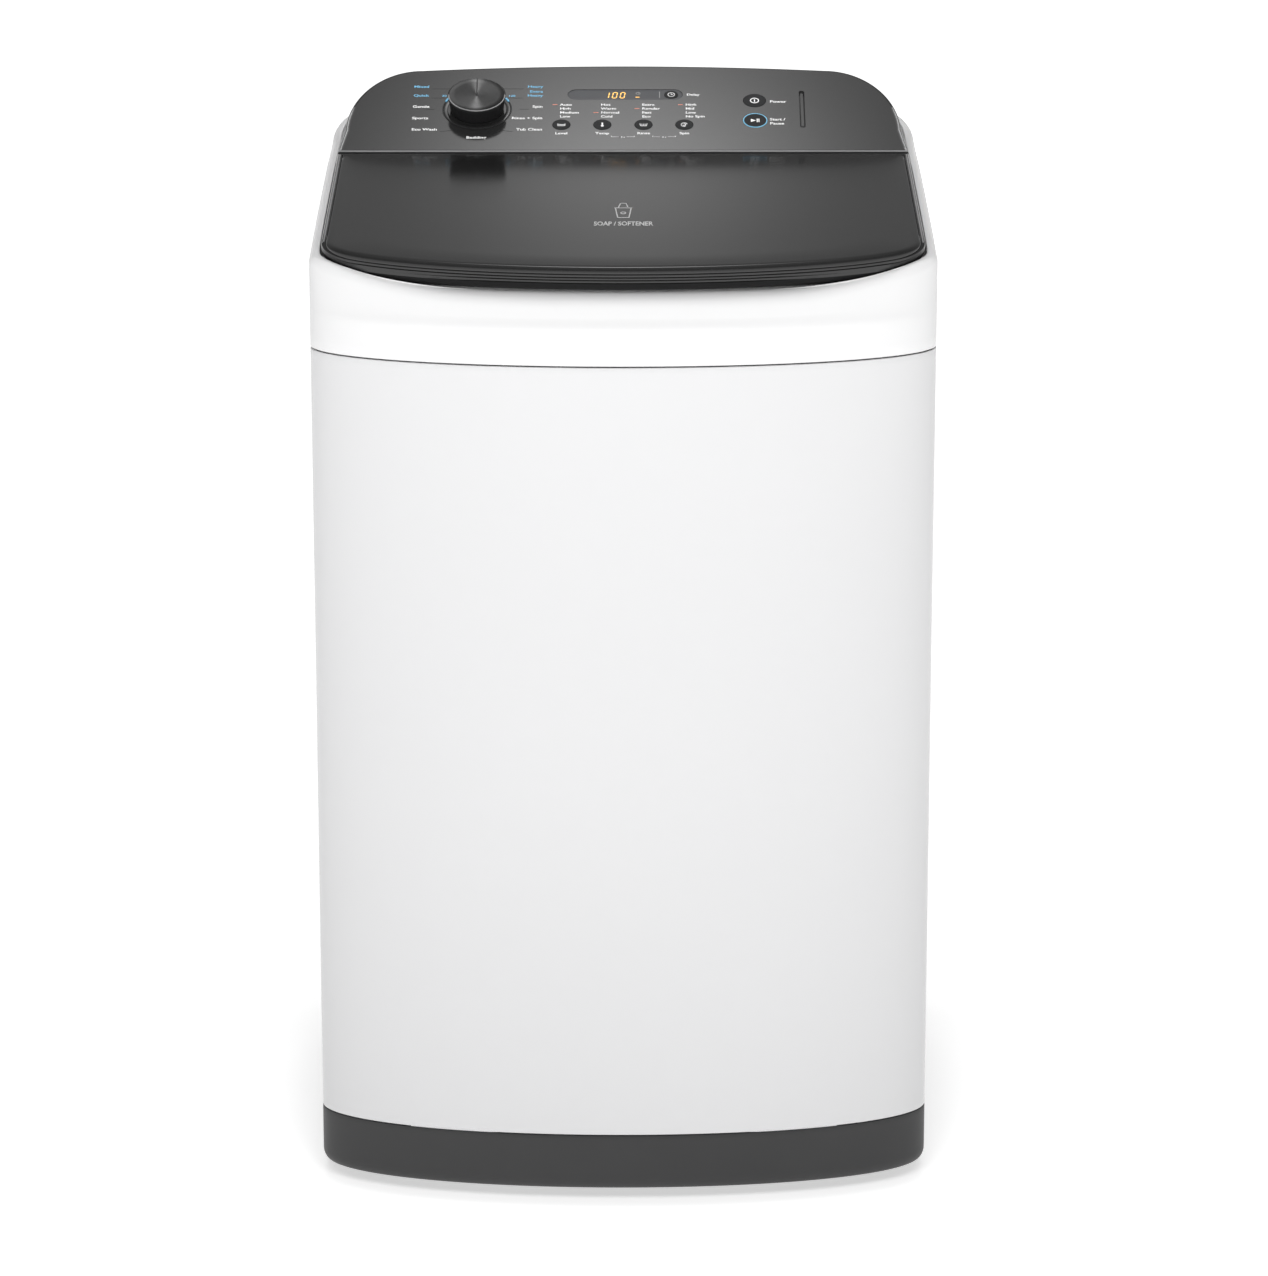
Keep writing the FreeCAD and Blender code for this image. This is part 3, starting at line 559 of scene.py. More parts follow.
def flat_rings(rows, stations=()):
    """Rings of the body's plan from (inset, z) rows."""
    return [[(x, y, z) for x, y in body_plan(inset, 0.0, stations)] for inset, z in rows]


def build_cabinet():
    top = SEAM_Z - 0.7
    rows = [(1.4, SHELL_Z + 0.2), (0.3, SHELL_Z + 0.3), (0.0, SHELL_Z + 1.0)]
    rows += [(0.0, lerp(SHELL_Z + 6, top - 6, i / 8)) for i in range(9)]
    rows += [(0.0, top - 0.9), (0.3, top - 0.2), (1.0, top), (2.6, top), (2.6, top - 9), (1.4, top - 9.4)]
    shell = add_object("cabinet_wrap", *loft(flat_rings(rows), closed=True), M["enamel"])
    window = block(-235, 235, REAR - 12, REAR + 10, 90, 820)
    cut(shell, [window])
    finish_piece(shell, "cabinet", ["cabinet_shell"])


def build_rear_panel():
    """The back sheet with three pressed panels, in its frame of screws."""
    low, high = node_box("rear_panel")
    columns = [lerp(low.x, high.x, i / 120) for i in range(121)]
    rows = [lerp(low.z, high.z, i / 170) for i in range(171)]
    presses = [(-195, 195, 190, 350), (-195, 195, 385, 565), (-195, 195, 600, 780)]

    def depth(x, z):
        best = 0.0
        for x0, x1, z0, z1 in presses:
            edge = min(x - x0, x1 - x, z - z0, z1 - z)
            best = max(best, smooth(edge / 9.0))
        return 2.6 * best

    front, back, verts, faces = {}, {}, [], []
    for i, x in enumerate(columns):
        for j, z in enumerate(rows):
            y = high.y - depth(x, z) - 0.05
            front[i, j] = len(verts)
            verts.append((x, y, z))
            back[i, j] = len(verts)
            verts.append((x, y - 0.9, z))
    for i in range(len(columns) - 1):
        for j in range(len(rows) - 1):
            for grid in (front, back):
                face = (grid[i, j], grid[i + 1, j], grid[i + 1, j + 1], grid[i, j + 1])
                faces.append(face if grid is front else face[::-1])
    last_i, last_j = len(columns) - 1, len(rows) - 1
    for i in range(last_i):
        for j in (0, last_j):
            faces.append((front[i, j], front[i + 1, j], back[i + 1, j], back[i, j]))
    for j in range(last_j):
        for i in (0, last_i):
            faces.append((front[i, j], front[i, j + 1], back[i, j + 1], back[i, j]))
    panel = add_object("rear_sheet", verts, faces, M["enamel"], crease=50)
    cut(panel, [tunnel(x, z, r, REAR - 15, REAR + 15) for x, z, r in ((-170.0, 130.0, 16.5), (190.0, 150.0, 9.2))])
    shade(panel, 50)
    finish_piece(panel, "cabinet", ["rear_panel"])


def build_plinth():
    rows = [(3.0, SHELL_Z - 1.2), (1.2, SHELL_Z - 0.6), (0.4, SHELL_Z - 0.8), (0.0, SHELL_Z - 1.6)]
    rows += [(0.0, z) for z in (68.0, 60.0, 50.0, 40.0, 32.0)]
    for i in range(9):
        a = math.pi / 2 * i / 8
        rows.append((8.0 * (1 - math.cos(a)), PLINTH_Z + 12.0 * (1 - math.sin(a))))
    rows += [(11.0, PLINTH_Z), (11.0, PLINTH_Z + 3), (4.0, PLINTH_Z + 14), (3.0, 40.0)]
    wall = loft(flat_rings(rows), closed=True)
    plate_rows = [(2.9, 44.0), (2.9, 40.0)]
    outer = flat_rings(plate_rows)
    inner = [[(x, y, z) for x, y in plan(HALF - 85, FRONT + 85, 5.0, REAR - 85, 12.0)] for z in (40.0, 44.0)]
    plate = loft(outer + inner, closed=True)
    sockets = []
    ribs = []
    for x, y in ((-235, -215), (235, -215), (-235, 235), (235, 235)):
        sockets.append(moved(revolve([(16, 18), (16, 45), (5.3, 45), (5.3, 18)], 32, closed=True), x, y))
        for k in range(6):
            a = math.pi * k / 3
            cx, cy = x + 22 * math.cos(a), y + 22 * math.sin(a)
            ribs.append(block(cx - 1.2, cx + 1.2, cy - 1.2, cy + 1.2, 24, 40.5, 0.4))
    base = add_object("base_frame", *merge(wall, plate, *sockets, *ribs), M["base"])
    finish_piece(base, "cabinet", ["base_plinth"])


RIM_TOP = curve_through([(-300, 899.4), (-286, 900.6), (-278, 903.2), (-267, 907.6), (-250, 914.0), (-237, 917.6),
                         (-218, 920.8), (-180, 924.2), (-112, 930.8), (-20, 936.8), (124, 945.0), (235, 949.0),
                         (256, 957.0), (272, 965.0), (285, 966.6)])
TUCK = curve_through([(0.0, -1.4), (0.3, 0.3), (0.45, 1.6), (0.63, 4.2), (0.75, 9.0), (0.88, 16.0), (1.0, 18.5)])
STEP_Y = CONSOLE.y - 1.0     # where the gutter steps up to the console's shelf


def floor_z(y):
    return SHELF_Z if y > STEP_Y else lid_z(y, LEDGE)


def wall_point(x, y, inset, back=0.0):
    """A point of the body's outline moved inwards. Back shortens the bow, which leans the front wall."""
    side, end, flat = FRONT + BOW, REAR - CORNER, HALF - CORNER
    if y <= side:
        t = math.atan2((y - side) / BOW, x / HALF)
        return (HALF - inset) * math.cos(t), side + (BOW - inset - back) * math.sin(t)
    if abs(x) > flat and y > end:
        centre = Vector((math.copysign(flat, x), end))
        p = centre + (Vector((x, y)) - centre) * max(CORNER - inset, 1.0) / CORNER
        return p.x, p.y
    return max(inset - HALF, min(HALF - inset, x)), min(y, REAR - inset)


def build_cover():
    """The white top moulding: wall, lean, rim, gutter, deck, mouth and collar in one closed loft."""
    stations = (STEP_Y - 0.2, STEP_Y + 0.2, 0.0, 60.0)
    outline = body_plan(0.0, 0.0, stations)
    tops = [RIM_TOP(y) for _, y in outline]
    # 1 along the bowed front, 0 at the sides and back
    fronts = [smooth((-y - 215.0) / 45.0) for _, y in outline]

    def wall(insets, heights):
        ring = []
        for (x, y), inset, z in zip(outline, insets, heights):
            rise = max(0.0, z - BREAK_Z + 6.0)
            px, py = wall_point(x, y, inset, LEAN / LEAN_RISE * rise * smooth(rise / 14.0))
            ring.append((px, py, z))
        return ring

    count = len(outline)

    def level(value):
        return [value] * count

    def inner(outwards, drop, to_floor=0.0):
        """The rim's inner edge: 2 mm outside the lid's sides, and tucked under its front lip."""
        ring = []
        for (x, y), top, front in zip(outline, tops, fronts):
            if y <= FRONT + BOW:
                t = math.atan2((y - FRONT - BOW) / BOW, x / HALF)
                under = TUCK(max(0.0, -math.sin(t))) - outwards
                px, py = (LID_HALF - under) * math.cos(t), LID_FRONT + LID_BOW + (LID_BOW - under) * math.sin(t)
            else:
                px, py = wall_point(x, y, RIM - outwards)
            floor = floor_z(py)
            z = lerp(top - min(drop, max(0.0, top - floor)), floor, to_floor) if top > floor else top
            ring.append((px, py, z))
        return ring

    rings = [wall(level(inset), level(SEAM_Z + rise)) for inset, rise in
             ((3.4, 0.4), (2.4, 0.2), (2.4, 0.9), (0.5, 0.9), (0.0, 1.6))]
    rings += [wall(level(0.0), level(z)) for z in (846.0, 856.0, 862.0)]
    rings += [wall(level(0.0), level(864.0 + 1.5 * i)) for i in range(1, 8)]
    spare = [math.dist(a[:2], b[:2]) for a, b in zip(wall(level(0.0), tops), inner(1.0, 0.0))]
    fillets = [min(lerp(6.0, 11.0, f), 0.8 * gap) for f, gap in zip(fronts, spare)]
    for i in range(1, 8):
        rings.append(wall(level(0.0), [lerp(875.0, max(top - r, 876.0), i / 7) for top, r in zip(tops, fillets)]))
    for i in range(1, 9):
        a = math.pi / 2 * i / 8
        rings.append(wall([r * (1 - math.cos(a)) for r in fillets],
                          [top - r * (1 - math.sin(a)) for top, r in zip(tops, fillets)]))

    for outwards, drop, to_floor in ((1.0, 0.0, 0.0), (0.45, 0.15, 0.0), (0.1, 0.5, 0.0), (0.0, 1.2, 0.0),
                                     (0.0, 1.6, 0.8), (-0.6, 1.6, 0.95), (-1.6, 1.6, 1.0)):
        rings.append(inner(outwards, drop, to_floor))

    def gutter(half, front, bow, rear, corner, z_of):
        return [(x, y, z_of(y)) for x, y in plan(half, front, bow, rear, corner, stations)]

    for rear, z_of in ((STEP_Y + 0.3, floor_z), (STEP_Y - 0.3, lambda y: lid_z(y, LEDGE))):
        rings.append(gutter(HALF - RIM - 5.5, FRONT + 31.2, BOW - 10, rear, 2.0, z_of))
    for inset, below in ((-3.0, LEDGE), (-1.0, LEDGE - 0.6), (0.0, LEDGE - 2.5), (0.0, DECK + 4.0),
                         (0.6, DECK + 1.8), (2.0, DECK + 0.4), (4.0, DECK), (6.0, DECK)):
        rings.append(gutter(DECK_HALF - inset, DECK_FRONT + inset, DECK_BOW - inset, DECK_REAR - inset,
                            max(12 - inset, 3), lambda y, b=below: lid_z(y, b)))
    platform = rings[-1]

    def mouth(radius, z_of):
        ring = []
        for x, y, _ in platform:
            a = math.atan2(y - MOUTH_Y, x)
            px, py = radius * math.cos(a), MOUTH_Y + radius * math.sin(a)
            ring.append((px, py, z_of(py)))
        return ring

    lip = 7.0
    rim_ring = mouth(MOUTH_R + lip, lambda y: lid_z(y, DECK))
    for i in (1, 2):
        rings.append([tuple(lerp(Vector(a), Vector(b), i / 3)) for a, b in zip(platform, rim_ring)])
    rings.append(rim_ring)
    for i in range(1, 6):
        a = math.pi / 2 * i / 5
        rings.append(mouth(MOUTH_R + lip * (1 - math.sin(a)),
                           lambda y, a=a: lid_z(y, DECK + lip * (1 - math.cos(a)))))
    for i in range(1, 5):
        rings.append(mouth(MOUTH_R, lambda y, i=i: lerp(lid_z(y, DECK + lip), COLLAR_Z + 1.5, i / 4)))
    rings.append(mouth(MOUTH_R + 1.5, lambda y: COLLAR_Z))
    rings.append(mouth(MOUTH_R + 3.0, lambda y: COLLAR_Z + 1.5))
    rings.append(mouth(MOUTH_R + 3.0, lambda y: lid_z(y, LEDGE + 4)))
    rings.append(wall(level(3.4), [lid_z(y, LEDGE + 4) for _, y in outline]))
    cover = add_object("top_moulding", *loft(rings, closed=True), M["white"], crease=38)
    cuts = [block(-72, 72, 60, 112, 878, 916, 3.0)]
    for x in (150.0, 205.0):
        cuts.append(tunnel(x, 888.0, 16.5, REAR - 15, REAR + 15))
    cut(cover, cuts)
    shade(cover, 38)
    finish_piece(cover, "cabinet", ["top_cover"])


# ---- lid ----------------------------------------------------------------------------------------

GROOVES = ((9.8, 235.0, 45.0), (12.8, 120.0, 100.0), (15.8, 105.0, 95.0))   # depth, half length, fade
GROOVE_DEPTH = 1.5


def lip_share(y):
    """1 along the front lip, falling to 0 where the skirt is shallow."""
    return 1.0 - smooth((y + 238.0) / 52.0)


def lid_ring(side, front, pull=(0.0, 0.0, 1.0)):
    """A ring of the lid's edge. Side and front are its (inset, depth) along the sides and the front lip.
    Pull is a groove's (depth, half length, fade)."""
    points = []
    for x, y in lid_plan(0.0):
        share = lip_share(y)
        fade = share * (1 - smooth((abs(x) - pull[1]) / pull[2])) if pull[0] else 0.0
        px, py = inset_point(x, y, lerp(side[0], front[0], share) + pull[0] * fade)
        points.append((px, py, lid_z(py, lerp(side[1], front[1], share))))
    return points


def build_lid_frame():
    """The lid's edge: bead round the panel, front lip with three fine grooves, skirt and hidden inner side."""
    rings = [lid_ring((4.75, 3.3), (3.6, 6.9)), lid_ring((4.75, 0.45), (0.75, 6.8)),
             lid_ring((4.4, 0.08), (0.35, 6.95)), lid_ring((3.2, 0.0), (0.2, 7.3)),
             lid_ring((1.8, 0.0), (0.2, 7.7)), lid_ring((1.0, 0.15), (0.3, 8.1)),
             lid_ring((0.4, 0.6), (0.4, 8.5)), lid_ring((0.1, 1.4), (0.55, 8.8))]
    for number, (depth, half, fade) in enumerate(GROOVES):
        base = 0.75 + (depth - 9.8) * 0.36
        side = 3.2 + 1.6 * number
        for offset, pull in ((-0.62, 0.0), (-0.42, GROOVE_DEPTH), (0.42, GROOVE_DEPTH), (0.62, 0.0)):
            rings.append(lid_ring((0.05 * number, side + offset), (base + offset * 0.3, depth + offset),
                                  (pull, half, fade)))
    for side, front in (((0.2, 8.6), (3.9, 17.6)), ((0.5, 9.8), (5.4, 19.6)), ((0.9, 10.8), (7.6, 21.8)),
                        ((1.4, 11.8), (10.8, 24.0)), ((2.0, 12.6), (14.8, 25.2)), ((3.0, 13.0), (20.0, 25.5)),
                        ((4.0, 12.9), (21.5, 24.5)), ((8.0, 12.6), (22.5, 12.6)), ((9.6, 12.4), (22.6, 12.4)),
                        ((9.6, 3.4), (22.6, 9.0)), ((8.0, 3.35), (8.0, 8.0))):
        rings.append(lid_ring(side, front))
    frame_obj = add_object("lid_edge", *loft(rings, closed=True), [M["lid"], M["lip"], M["bead"]], crease=40)
    count = len(rings[0])
    for polygon in frame_obj.data.polygons:
        centre = polygon.center / MM
        below = lid_z(centre.y) - centre.z
        # the undercut deeper than 16.9 mm takes the near-black lip grey: painted shade
        if below > 16.9 and centre.y < -150:
            polygon.material_index = 1
        # the bead's top faces take the lighter bead grey: a painted highlight
        elif polygon.index // count == 3 and below < 1.2 and centre.y < LID_REAR - 6:
            polygon.material_index = 2
    cut(frame_obj, hinge_pockets())
    shade(frame_obj, 40)
    finish_piece(frame_obj, "lid", ["lid_frame"])


def inset_point(x, y, step):
    """Moves a point of the lid's outline inwards by step, the way lid_plan insets it."""
    side = LID_FRONT + LID_BOW
    if y <= side:
        t = math.atan2((y - side) / LID_BOW, x / LID_HALF)
        return (LID_HALF - step) * math.cos(t), side + (LID_BOW - step) * math.sin(t)
    limit_x, limit_y = LID_HALF - step, LID_REAR - step
    return max(-limit_x, min(limit_x, x)), min(limit_y, y)


def hinge_pockets():
    top = lid_z(PIVOT.y) - 0.7
    return [block(s * HINGE_X - 16, s * HINGE_X + 16, 108, 130, 900, top) for s in (1, -1)]


def build_lid_panel():
    """The glossy top panel. It lies flat in the frame along the sides and rolls down over the front lip."""
    rows = (((5.6, 3.0), (4.4, 6.6)), ((5.2, 2.8), (0.9, 6.5)), ((5.2, 0.8), (0.45, 6.3)), ((5.3, 0.45), (0.2, 5.9)),
            ((5.5, 0.22), (0.05, 5.2)), ((5.9, 0.1), (0.0, 4.2)), ((6.6, 0.03), (0.2, 3.1)), ((7.4, 0.0), (0.7, 2.0)),
            ((8.4, 0.0), (1.6, 1.1)), ((9.6, 0.0), (3.0, 0.45)), ((11.0, 0.0), (4.8, 0.12)), ((14.0, 0.0), (8.0, 0.0)))
    rings = [lid_ring(side, front) for side, front in rows]
    centre_y = -70.0
    edge = rings[-1]
    for share in (0.85, 0.68, 0.5, 0.32, 0.15):
        ring = [(x * share, centre_y + (y - centre_y) * share) for x, y, _ in edge]
        rings.append([(x, y, lid_z(y)) for x, y in ring])
    panel = add_object("lid_top_panel", *loft(rings), M["lid"], crease=30)
    cut(panel, hinge_pockets())
    shade(panel, 30)
    finish_piece(panel, "lid", ["lid_panel"])


def build_lid_liner():
    """The lid's underside: a rim, a recessed field and a raised drip ridge."""
    rings = []
    rows = ((10.3, 9.0), (10.3, 12.7), (11.0, 13.0), (22.0, 13.0), (24.0, 12.6), (26.0, 10.6), (28.0, 10.2),
            (46.0, 10.2), (47.5, 10.5), (49.0, 11.8), (51.0, 12.2), (53.0, 11.8), (54.5, 10.5), (56.0, 10.2))
    for inset, below in rows:
        rings.append([(x, y, lid_z(y, below)) for x, y in lid_plan(inset)])
    edge = rings[-1]
    centre_y = -70.0
    for share in (0.8, 0.5, 0.2):
        ring = [(x * share, centre_y + (y - centre_y) * share) for x, y, _ in edge]
        rings.append([(x, y, lid_z(y, 10.2)) for x, y in ring])
    liner = add_object("lid_underside", *loft(rings), M["inner"], crease=40)
    cut(liner, hinge_pockets())
    shade(liner, 40)
    finish_piece(liner, "lid", ["lid_liner"])


# ---- console ------------------------------------------------------------------------------------

def build_console():
    rows = ((3.2, -3.0), (0.4, -3.0), (0.0, -2.6), (0.0, -1.5), (0.2, -0.7), (0.6, -0.1), (1.1, 0.2), (1.7, 0.3),
            (2.3, 0.18), (2.9, 0.02), (3.2, 0.0), (5.0, 0.0))
    # the lower edge carries a raised bead, the rest a plain rounded shoulder
    rings = [[(x, y, w if y < 75.0 else min(w, -0.2 * max(0.0, 2.3 - inset) ** 2))
              for x, y in console_outline(inset)] for inset, w in rows]
    fascia = add_object("console_face", *loft(rings), [M["console"], M["bead"]], CONSOLE_FRAME, crease=30)
    count = len(rings[0])
    # faces along the lower bead take the lighter bead grey: a painted highlight
    for polygon in fascia.data.polygons:
        ring, v = polygon.index // count, polygon.center.y / MM
        if 5 <= ring <= 8 and v < 6.0 or 6 <= ring <= 7 and v < 75.0:
            polygon.material_index = 1
    tools = [loft([circle_ring(u, v, r + 0.35, w, 64) for w in (-8, 8)]) for u, v, r in KEYS.values()
             if v != KEYS["delay"][1]]
    x0, x1, y0, y1 = DISPLAY
    tools.append(loft([pill_ring(x0, x1, y0, y1, w, 24) for w in (-8, 8)]))
    u, v0, v1, width = GROOVE
    tools.append(loft([pill_ring(u - width / 2, u + width / 2, v0, v1, w) for w in (-8, 8)]))
    tools.append(loft([circle_ring(KNOB_U, KNOB_V, 5.0, w) for w in (-8, 8)]))
    cut(fascia, tools, CONSOLE_FRAME)
    shade(fascia, 30)
    finish_piece(fascia, "cabinet", ["console_fascia"])

    outer, inner = console_outline(0.5), console_outline(3.6)
    rings = []
    for outline, top in ((inner, True), (outer, True)):
        rings.append([tuple(console_point(u, v, -3.1)) for u, v in outline])
    for share in (0.25, 0.5, 0.75):
        rings.append([(p.x, p.y, lerp(p.z, SHELF_Z + 0.4, share)) for p in
                      (console_point(u, v, -3.1) for u, v in outer)])
    for outline in (outer, inner):
        rings.append([(p.x, p.y, SHELF_Z + 0.4) for p in (console_point(u, v, -3.1) for u, v in outline)])
    hood = add_object("console_hood", *loft(rings, closed=True), M["console"])
    finish_piece(hood, "cabinet", ["console_body"])


def build_groove():
    u, v0, v1, width = GROOVE
    low, high = u - width / 2, u + width / 2
    rows = ((0.0, -3.0), (0.0, -0.6), (0.25, -0.55), (0.9, -1.3), (1.4, -1.7))
    rings = [pill_ring(low + i, high - i, v0 + i, v1 - i, w) for i, w in rows]
    channel = add_object("console_groove", *loft(rings), M["console"], CONSOLE_FRAME)
    # a black disc at the groove's lower end: painted shade at the end of the recess
    end = revolve([(0.0, -1.2), (1.7, -1.25), (2.0, -1.6), (2.0, -1.9)], 24, (u, v0 + 3.4))
    end_shade_disc = add_object("console_groove_end_shade", *end, M["black"], CONSOLE_FRAME)
    end_shade_disc.parent = channel
    end_shade_disc.matrix_parent_inverse = channel.matrix_world.inverted()
    finish_piece(channel, "cabinet", ["groove_insert"])


def build_bezel():
    profile = [(29.4, 0.0), (29.4, 0.25), (29.7, 0.4), (33.2, 0.4), (33.7, 0.3), (34.0, 0.02)]
    ring = add_object("knob_bezel_ring", *revolve(profile, 128, closed=True), M["console"],
                      CONSOLE_FRAME @ Matrix.Translation(Vector((KNOB_U, KNOB_V, 0)) * MM))
    finish_piece(ring, "cabinet", ["knob_bezel"])
    # a dark ring just outside the bezel: a painted shadow line
    line = revolve([(34.05, 0.0), (34.05, 0.12), (35.0, 0.12), (35.0, 0.0)], 128, closed=True)
    shadow_ring = add_object("knob_bezel_shadow_line", *line, M["print_dark"],
                      CONSOLE_FRAME @ Matrix.Translation(Vector((KNOB_U, KNOB_V, 0)) * MM))
    finish_piece(shadow_ring, "cabinet")


KNOB_FRAME = CONSOLE_FRAME @ Matrix.Translation(Vector((KNOB_U, KNOB_V, 0)) * MM)


def build_knob():
    """A tapered knob: dark side, spun face with a painted fan highlight and a painted highlight along the front of its
    edge, and a pointer groove past its centre.
    """
    taper = (KNOB_FACE_R - KNOB_BASE_R) / 16.5

    def side_r(w):
        return KNOB_BASE_R + taper * (w - 1.5)

    side = [(0.0, 1.5), (side_r(1.5) - 3.0, 1.5), (side_r(1.5) - 0.7, 1.55), (side_r(1.9) - 0.15, 1.9)]
    side += [(side_r(w) - 0.05, w) for w in (2.6, 6.0, 10.0, 14.0, 16.2)]
    side += [(side_r(16.8) - 0.5, 16.8), (0.0, 16.85)]
    skirt = add_object("knob_skirt", *revolve(side, 160), M["knob_side"], KNOB_FRAME, crease=40)
    edge = KNOB_FACE_R
    face = [(0.0, 16.9), (edge - 0.6, 16.9), (edge - 0.12, 17.05), (edge - 0.02, 17.35), (edge - 0.3, 17.75),
            (edge - 0.8, 17.97), (edge - 1.3, 18.0), (edge - 1.6, 17.9)]
    face += [(r, 17.88) for r in (22.0, 16.0, 10.0, 5.0, 0.0)]
    cap = add_object("knob_face_disc", *revolve(face, 160), [M["knob_face"], M["knob_edge"]], KNOB_FRAME, crease=25)
    # the front half of the face's rounded edge takes a lighter grey: a painted highlight
    for polygon in cap.data.polygons:
        radius = math.hypot(polygon.center.x, polygon.center.y) / MM
        if edge - 1.2 < radius < edge - 0.25 and polygon.center.z > 17.4 * MM and polygon.center.y < 0.0:
            polygon.material_index = 1
    channel = [[(-h, POINTER_END, w), (h, POINTER_END, w), (h, 30.0, w), (-h, 30.0, w)]
               for h, w in ((0.5, 17.0), (0.8, 20.0))]
    cut(cap, [loft(channel)], KNOB_FRAME)
    shade(cap, 25)
    finish_piece(skirt, "selector", ["knob"])
    finish_piece(cap, "selector")
    strip = block(-0.42, 0.42, POINTER_END + 0.1, edge - 1.0, 17.0, 17.4, 0.1)
    pointer = add_object("knob_pointer", *strip, M["print_dark"], KNOB_FRAME)
    finish_piece(pointer, "selector")


POINTER_END = -3.0


def ring_part(x, y, outer, inner, z0, z1, n=48, start=0.0, turn=360.0):
    """A flat ring or part of a ring, standing from z0 to z1."""
    full = abs(turn - 360.0) < 1e-6
    steps = n if full else max(3, int(n * turn / 360.0))
    rings = []
    for r, z in ((outer, z0), (outer, z1), (inner, z1), (inner, z0)):
        ring = []
        for j in range(steps if full else steps + 1):
            a = math.radians(start + turn * j / steps)
            ring.append((x + r * math.cos(a), y + r * math.sin(a), z))
        rings.append(ring)
    if full:
        return loft(rings, closed=True)
    profiles = [[ring[j] for ring in rings] for j in range(steps + 1)]
    return loft(profiles)


def bar(x0, y0, x1, y1, width, z0, z1):
    """A straight printed stroke."""
    a, b = Vector((x0, y0)), Vector((x1, y1))
    side = (b - a).normalized().orthogonal() * width / 2
    ring = [a + side, a - side, b - side, b + side]
    return loft([[(p.x, p.y, z) for p in ring] for z in (z0, z1)])


def polygon(points, z0, z1):
    return loft([[(x, y, z) for x, y in points] for z in (z0, z1)])


def icon(kind, x, y, s, z0, z1):
    """Small generic pictograms for the keys, about 2 s wide."""
    w = 0.16 * s
    if kind == "power":
        return [ring_part(x, y, s, s - 1.4 * w, z0, z1, 40), bar(x, y - 0.45 * s, x, y + 0.45 * s, 1.5 * w, z0, z1)]
    if kind == "start":
        play = polygon([(x - s, y - 0.62 * s), (x - s, y + 0.62 * s), (x + 0.1 * s, y)], z0, z1)
        hole = 0.0
        bars = [bar(x + d * s, y - 0.62 * s, x + d * s, y + 0.62 * s, 1.5 * w + hole, z0, z1) for d in (0.45, 0.85)]
        return [play] + bars
    if kind == "water_level":
        cup = [bar(x - s, y + 0.5 * s, x - s, y - 0.5 * s, w, z0, z1), bar(x - s, y - 0.5 * s, x + s, y - 0.5 * s, w, z0, z1),
               bar(x + s, y - 0.5 * s, x + s, y + 0.5 * s, w, z0, z1)]
        waves = [bar(x - 0.9 * s + d * s, y + e * s, x - 0.45 * s + d * s, y - e * s + 0.2 * s, w, z0, z1)
                 for d, e in ((0.0, 0.1), (0.45, 0.1), (0.9, 0.1), (1.35, 0.1))]
        return cup + waves
    if kind == "temperature":
        return [ring_part(x, y - 0.5 * s, 0.42 * s, 0.02, z0, z1, 24), bar(x, y - 0.5 * s, x, y + 0.95 * s, 0.4 * s, z0, z1)]
    if kind == "rinse":
        tub = [bar(x - s, y + 0.55 * s, x - 0.8 * s, y - 0.55 * s, w, z0, z1),
               bar(x - 0.8 * s, y - 0.55 * s, x + 0.8 * s, y - 0.55 * s, w, z0, z1),
               bar(x + 0.8 * s, y - 0.55 * s, x + s, y + 0.55 * s, w, z0, z1)]
        drops = [bar(x + d * s, y - 0.2 * s, x + d * s, y + 0.4 * s, w, z0, z1) for d in (-0.45, 0.0, 0.45)]
        return tub + drops
    if kind == "spin":
        arcs = [ring_part(x, y, r * s, r * s - w, z0, z1, 40, a, 270.0) for r, a in ((0.95, 20.0), (0.5, 200.0))]
        return arcs
    hands = [bar(x, y, x, y + 0.6 * s, w, z0, z1), bar(x, y, x + 0.45 * s, y, w, z0, z1)]
    return [ring_part(x, y, s, s - w, z0, z1, 36)] + hands


def build_keys():
    """Each key is a dished cap with a fine rounded rim, and its pictogram is printed in the dish."""
    for key, (u, v, r) in KEYS.items():
        place = CONSOLE_FRAME @ Matrix.Translation(Vector((u, v, 0)) * MM)
        top, dish = (0.25, -0.1) if key != "delay" else (0.1, -0.15)
        profile = [(0.0, -5.0), (r + 1.2, -5.0), (r + 1.2, -3.6), (r, -3.5), (r, top - 0.5), (r - 0.1, top - 0.2),
                   (r - 0.35, top), (r - 0.8, top)]
        profile += [(lerp(r - 0.8, 0.0, i / 8), lerp(top, dish, smooth(i / 8))) for i in range(1, 9)]
        cap = add_object(key + "_key", *revolve(profile, 96), M["key"], place, crease=35)
        finish_piece(cap, key + "_button", [key + "_button"])
        size = {"power": 5.2, "start": 4.4, "delay": 3.6}.get(key, 3.6)
        if key == "power":
            size = 4.6
        marks = add_object(key + "_key_icon", *merge(*icon(key, 0, 0, size, dish - 0.1, top + 0.03)),
                           M["print_white_painted_glow"], place)
        finish_piece(marks, key + "_button")
    u, v, r = KEYS["start"]
    place = CONSOLE_FRAME @ Matrix.Translation(Vector((u, v, 0)) * MM)
    halo = add_object("start_light_ring", *ring_part(0, 0, r + 0.15, r - 0.75, -0.6, 0.36, 96),
                      M["light_blue"], place)
    finish_piece(halo, "start_button")


SEGMENTS = {"1": "bc", "0": "abcdef"}


